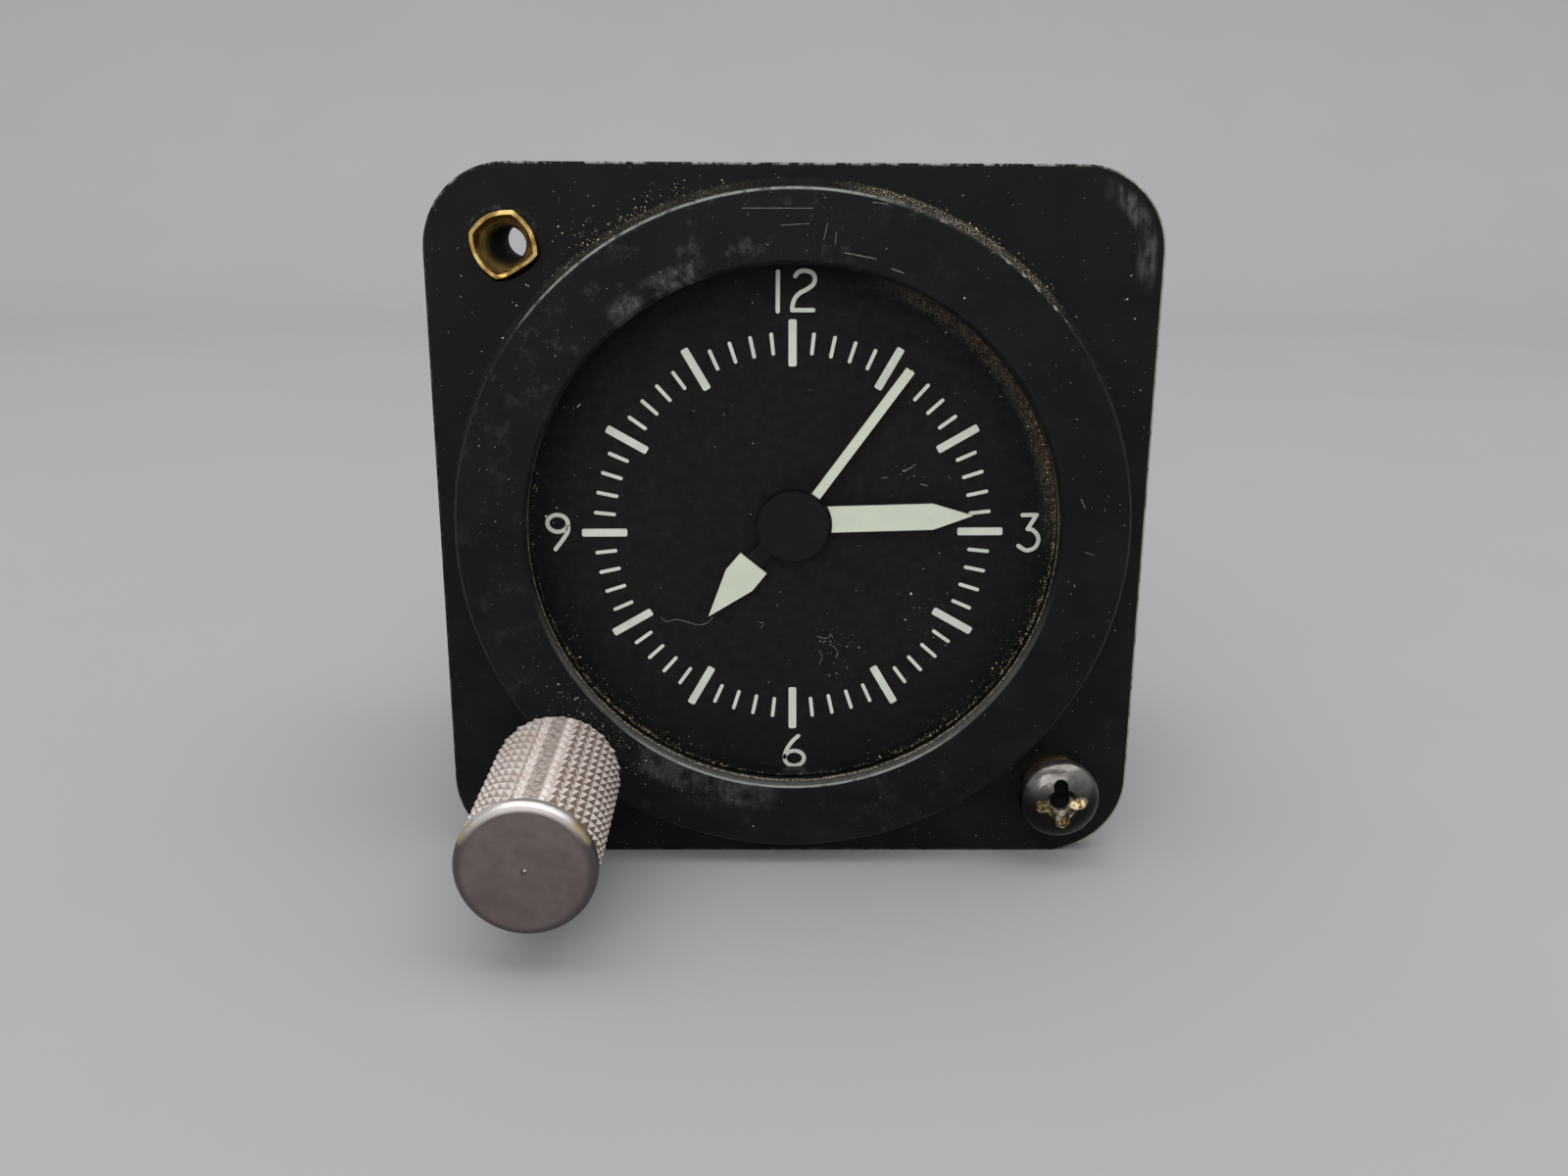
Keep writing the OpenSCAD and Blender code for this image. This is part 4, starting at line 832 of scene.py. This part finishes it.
def numerals(material):
    """The numbers 12, 3, 6 and 9."""
    one = [(-1.36, 22.3), (-1.37, 19.05)]
    two = smooth_path([(0.08, 21.95), (0.36, 22.28), (0.93, 22.4), (1.5, 22.2), (1.72, 21.8),
                       (1.6, 21.3), (1.1, 20.9), (0.45, 20.55), (0.02, 20.05), (-0.14, 19.45),
                       (-0.15, 19.15)], 3)
    two += [(1.6, 19.16)]
    three = [(20.1, 1.58), (21.33, 1.6), (20.6, 0.34)]
    three += smooth_path([(20.6, 0.34), (21.0, 0.26), (21.42, -0.12), (21.6, -0.65),
                          (21.4, -1.25), (20.98, -1.54), (20.47, -1.58), (19.87, -1.2)], 3)[1:]
    ring6 = oval(0.31, -21.34, 0.9, 0.74)
    six = smooth_path([(0.66, -19.15), (0.16, -19.63), (-0.32, -20.34), (-0.56, -20.98),
                       (-0.59, -21.34)], 3)
    ring9 = oval(-20.49, 0.72, 0.9, 0.76)
    nine = smooth_path([(-19.59, 0.7), (-19.62, 0.05), (-19.95, -0.55), (-20.76, -1.62)], 3)
    parts = []
    for layer, glyph in enumerate((one, two, three, ring6, six, ring9, nine)):
        path = [(x + PRINT_X, z + PRINT_Z) for x, z in glyph]
        parts += stroke_parts(path, NUMERAL_W, layer)
    verts, faces = merged(parts)
    new_piece("dial_numerals", verts, faces, material, "case")


# Loose dust, scratches and hairs

def flakes(name, places, y, material, size, seed):
    """Scatter of tiny flat irregular flakes lying on a face that looks towards -Y."""
    rng = random.Random(seed)
    verts, faces = [], []
    for x, z in places:
        s = size * math.exp(rng.gauss(0, 0.45))
        turn = rng.uniform(0, math.tau)
        stretch = rng.uniform(0.5, 1.0)
        n = rng.randint(4, 6)
        base = len(verts)
        lift = 0.012 + rng.uniform(0, 0.02)
        ring = []
        for k in range(n):
            t = math.tau * k / n
            u = s * math.cos(t) * rng.uniform(0.7, 1.1)
            v = s * stretch * math.sin(t) * rng.uniform(0.7, 1.1)
            ring.append((x + u * math.cos(turn) - v * math.sin(turn),
                         z + u * math.sin(turn) + v * math.cos(turn)))
        verts += [at(px, y - lift, pz) for px, pz in ring]
        verts.append(at(x, y - lift - s * 0.35, z))
        verts += [at(px, y + 0.004, pz) for px, pz in ring]
        top = base + n
        for k in range(n):
            m = (k + 1) % n
            faces.append((base + k, base + m, top))
            faces.append((base + k, top + 1 + k, top + 1 + m, base + m))
        faces.append(tuple(top + 1 + k for k in range(n)))
    new_piece(name, verts, faces, material, "case", smooth=50.0)


def stroke_piece(name, lines, y, material):
    """Thin raised lines lying on a face that looks towards -Y; each is width and points."""
    parts = []
    for width, points in lines:
        path = smooth_path(points, 4) if len(points) > 2 else points
        for p, q in zip(path, path[1:]):
            parts.append(prism(capsule(p, q, width, 1.0, 2), y - 0.02, y + 0.004))
    verts, faces = merged(parts)
    new_piece(name, verts, faces, material, "case")


def clear_of_knob(points):
    """Points that the knob doesn't stand in front of."""
    return [(x, z) for x, z in points if math.hypot(x - KNOB_X, z - KNOB_Z) > 4]


def on_flange(points, inner, outer, half, gap):
    """Points between two radii, within half the flange and clear of both insert nuts."""
    return [(x, z) for x, z in points
            if inner < math.hypot(x, z) < outer and max(abs(x), abs(z)) < half
            and min(math.hypot(x + HOLE, z - HOLE), math.hypot(x - HOLE, z + HOLE)) > gap]


def scatter():
    """Dust, flecks, scratches and hairs on the flange, the ring and the glass."""
    rng = random.Random(5)
    pale = dust_tone("dust_pale", srgb(168, 166, 156), srgb(214, 212, 202))
    hair = dust_tone("hair_grey", srgb(118, 116, 108), srgb(156, 154, 146))
    gold = dust_tone("dust_gold", srgb(132, 112, 70), srgb(222, 206, 162))

    # dust that has gathered on the glass along the window's edge
    rim = []
    for _ in range(1300):
        a = rng.choice((rng.gauss(82, 24), rng.gauss(128, 20), rng.gauss(224, 14),
                        rng.uniform(60, 300)))
        wide = 0.1 if 166 < a < 194 else rng.choice((0.1, 0.14, 0.7))
        rim.append(clock_point(WINDOW_R - 0.08 - abs(rng.gauss(0, wide)), a))
    flakes("rim_dust", rim, GLASS_Y, gold, size=0.028, seed=21)

    # single flecks on the glass, some of them in groups
    flecks = [clock_point(21.8 * math.sqrt(rng.random()), rng.uniform(0, 360))
              for _ in range(70)]
    flecks += [(rng.gauss(3.5, 0.9), rng.gauss(-10.8, 1.7)) for _ in range(44)]
    flecks += [(rng.gauss(12.5, 1.8), rng.gauss(-8.5, 1.6)) for _ in range(26)]
    flecks += [(rng.gauss(9.6, 0.9), rng.gauss(5.4, 0.4)) for _ in range(9)]
    flecks = [p for p in flecks if math.hypot(*p) < 22]
    flakes("glass_flecks", flecks, GLASS_Y, pale, size=0.035, seed=22)

    # dust on the flange, most of it along the ring
    heel = [clock_point(28.7 + abs(rng.gauss(0, 0.9)), rng.gauss(-27, 9)) for _ in range(150)]
    heel += [clock_point(28.7 + abs(rng.gauss(0, 0.45)), rng.gauss(32, 12)) for _ in range(90)]
    heel += [(rng.uniform(-29, 29), rng.uniform(-29, 29)) for _ in range(120)]
    heel = on_flange(clear_of_knob(heel), 28.6, 36, 29.4, 3.4)
    flakes("flange_dust", heel, 0.0, gold, size=0.04, seed=23)

    # pale flecks on the flange, most of them around the open insert nut
    loose = random.Random(6)
    spots = [(loose.gauss(-20.3, 2.6), loose.gauss(22.0, 2.6)) for _ in range(90)]
    spots += [(loose.uniform(-29, -12), loose.uniform(14, 29)) for _ in range(40)]
    spots += [(loose.uniform(10, 29), loose.uniform(-29, 29)) for _ in range(50)]
    spots = on_flange(spots, 28.9, 35, 29.2, 3.5)
    flakes("flange_flecks", spots, 0.0, pale, size=0.045, seed=25)

    # flecks on the ring, most of them towards the knob
    on_ring = [clock_point(rng.uniform(23, 28), rng.uniform(0, 360)) for _ in range(90)]
    on_ring += [clock_point(23 + abs(rng.gauss(0, 1.6)), rng.gauss(222, 11)) for _ in range(110)]
    flakes("ring_dust", clear_of_knob(on_ring), -RING_H, pale, size=0.03, seed=24)

    stroke_piece("ring_scratches", RING_SCRATCHES, -RING_H, hair)
    stroke_piece("glass_hairs", GLASS_HAIRS, GLASS_Y, hair)


# Stage, light and camera

def stage():
    """Plain grey floor that bends up into a wall."""
    g = Graph("floor_grey")
    g.set(Base_Color=g.mix(g.step(g.noise(0.02, 3.0), 0.2, 0.8),
                           (0.412, 0.408, 0.412), (0.422, 0.418, 0.422)))
    g.set(Roughness=0.95, Specular_IOR_Level=0.05)
    near, bend, back, wide, high = -2.0, 0.25, 0.45, 3.0, 2.0
    arc = [math.radians(7.5 * k) for k in range(1, 13)]
    profile = [(near, 0.0), (back, 0.0)]
    profile += [(back + bend * math.sin(t), bend * (1 - math.cos(t))) for t in arc]
    profile.append((back + bend, high))
    verts = [(x, y, z) for y, z in profile for x in (-wide, wide)]
    faces = [(2 * i, 2 * i + 1, 2 * i + 3, 2 * i + 2) for i in range(len(profile) - 1)]
    mesh = bpy.data.meshes.new("floor")
    mesh.from_pydata(verts, [], faces)
    mesh.materials.append(g.mat)
    for p in mesh.polygons:
        p.use_smooth = True
    obj = shown("floor", mesh)


def area(name, loc, aim, size, power):
    """Rectangular light at loc that looks at aim."""
    data = bpy.data.lights.new(name, "AREA")
    data.shape = "RECTANGLE"
    data.size, data.size_y = size
    data.energy = power
    obj = shown(name, data)
    obj.location = loc
    obj.rotation_euler = (Vector(aim) - Vector(loc)).to_track_quat("-Z", "Y").to_euler()


def sky(color, strength):
    """Even light from all around."""
    world = bpy.data.worlds.new("soft_room")
    world.use_nodes = True
    background = world.node_tree.nodes["Background"]
    background.inputs["Color"].default_value = (*color, 1)
    background.inputs["Strength"].default_value = strength
    bpy.context.scene.world = world


def camera():
    """Camera of the photo."""
    data = bpy.data.cameras.new("camera")
    data.sensor_fit = "HORIZONTAL"
    data.sensor_width = SENSOR
    data.lens = LENS
    data.clip_start = 0.002
    obj = shown("camera", data)
    ahead = Vector(CAMERA_AHEAD).normalized()
    right = ahead.cross(Vector(CAMERA_UP)).normalized()
    basis = Matrix((right, right.cross(ahead), -ahead)).transposed()
    obj.matrix_world = Matrix.Translation(at(*CAMERA_AT)) @ basis.to_4x4()
    bpy.context.scene.camera = obj


# Materials on the CAD nodes

PAINT = black_paint()
CASE_PAINT = case_paint()
INSERT = insert_metal()
NICKEL = knob_metal()
SCREW = screw_black()
LUME = lume()
HANDS = {
    "second_hand": hand_paint("second_paint", start=3.31, along=35.9),
    "minute_hand": hand_paint("minute_paint", start=3.4),
    "hour_hand": hand_paint("hour_paint", start=4.88, along=219.2),
}
BY_SLOT = {
    "black_paint": CASE_PAINT,
    "dial_paint": plain_black("dial_black", srgb(9, 8, 8), srgb(12, 11, 11), 0.0),
    "glass": clear_glass(),
    "nickel": NICKEL,
    "brass": metal("train_brass", srgb(188, 154, 88), srgb(204, 172, 104), 0.32),
    "steel": metal("train_steel", srgb(152, 154, 158), srgb(178, 180, 184), 0.3),
    "black_steel": SCREW,
    "rubber": plain_black("gasket_rubber", srgb(20, 20, 20), srgb(28, 28, 28), 0.5),
}
slots = {s["node"]: s["material_slot"] for s in frame["record"]["subparts"]}
for name, obj in NODES.items():
    obj.data.materials.clear()
    obj.data.materials.append(HANDS.get(name) or BY_SLOT.get(slots[name], CASE_PAINT))
NODES["insert_nuts"].data.materials[0] = INSERT

# Pieces of the scene

dressed("bezel", "case", PAINT, bevel=0.1)
dressed("case_can", "case", CASE_PAINT, bevel=0.2)
dressed("rear_cover", "case", CASE_PAINT, bevel=0.15)
peened_inserts(INSERT)
worn_screw(SCREW)
worn_knob(NICKEL)
dial_marks(LUME)
numerals(LUME)
scatter()

stage()
area("key", (0.05, 0.12, 1.1), aim=(0, 0, 0.02), size=(2.0, 1.4), power=11.5)
area("fill", (-0.15, -0.9, 0.45), aim=(0, 0, 0.03), size=(1.0, 0.6), power=4.4)
sky((0.95, 0.97, 1.0), strength=0.55)
camera()
bpy.context.scene.view_settings.view_transform = "Standard"
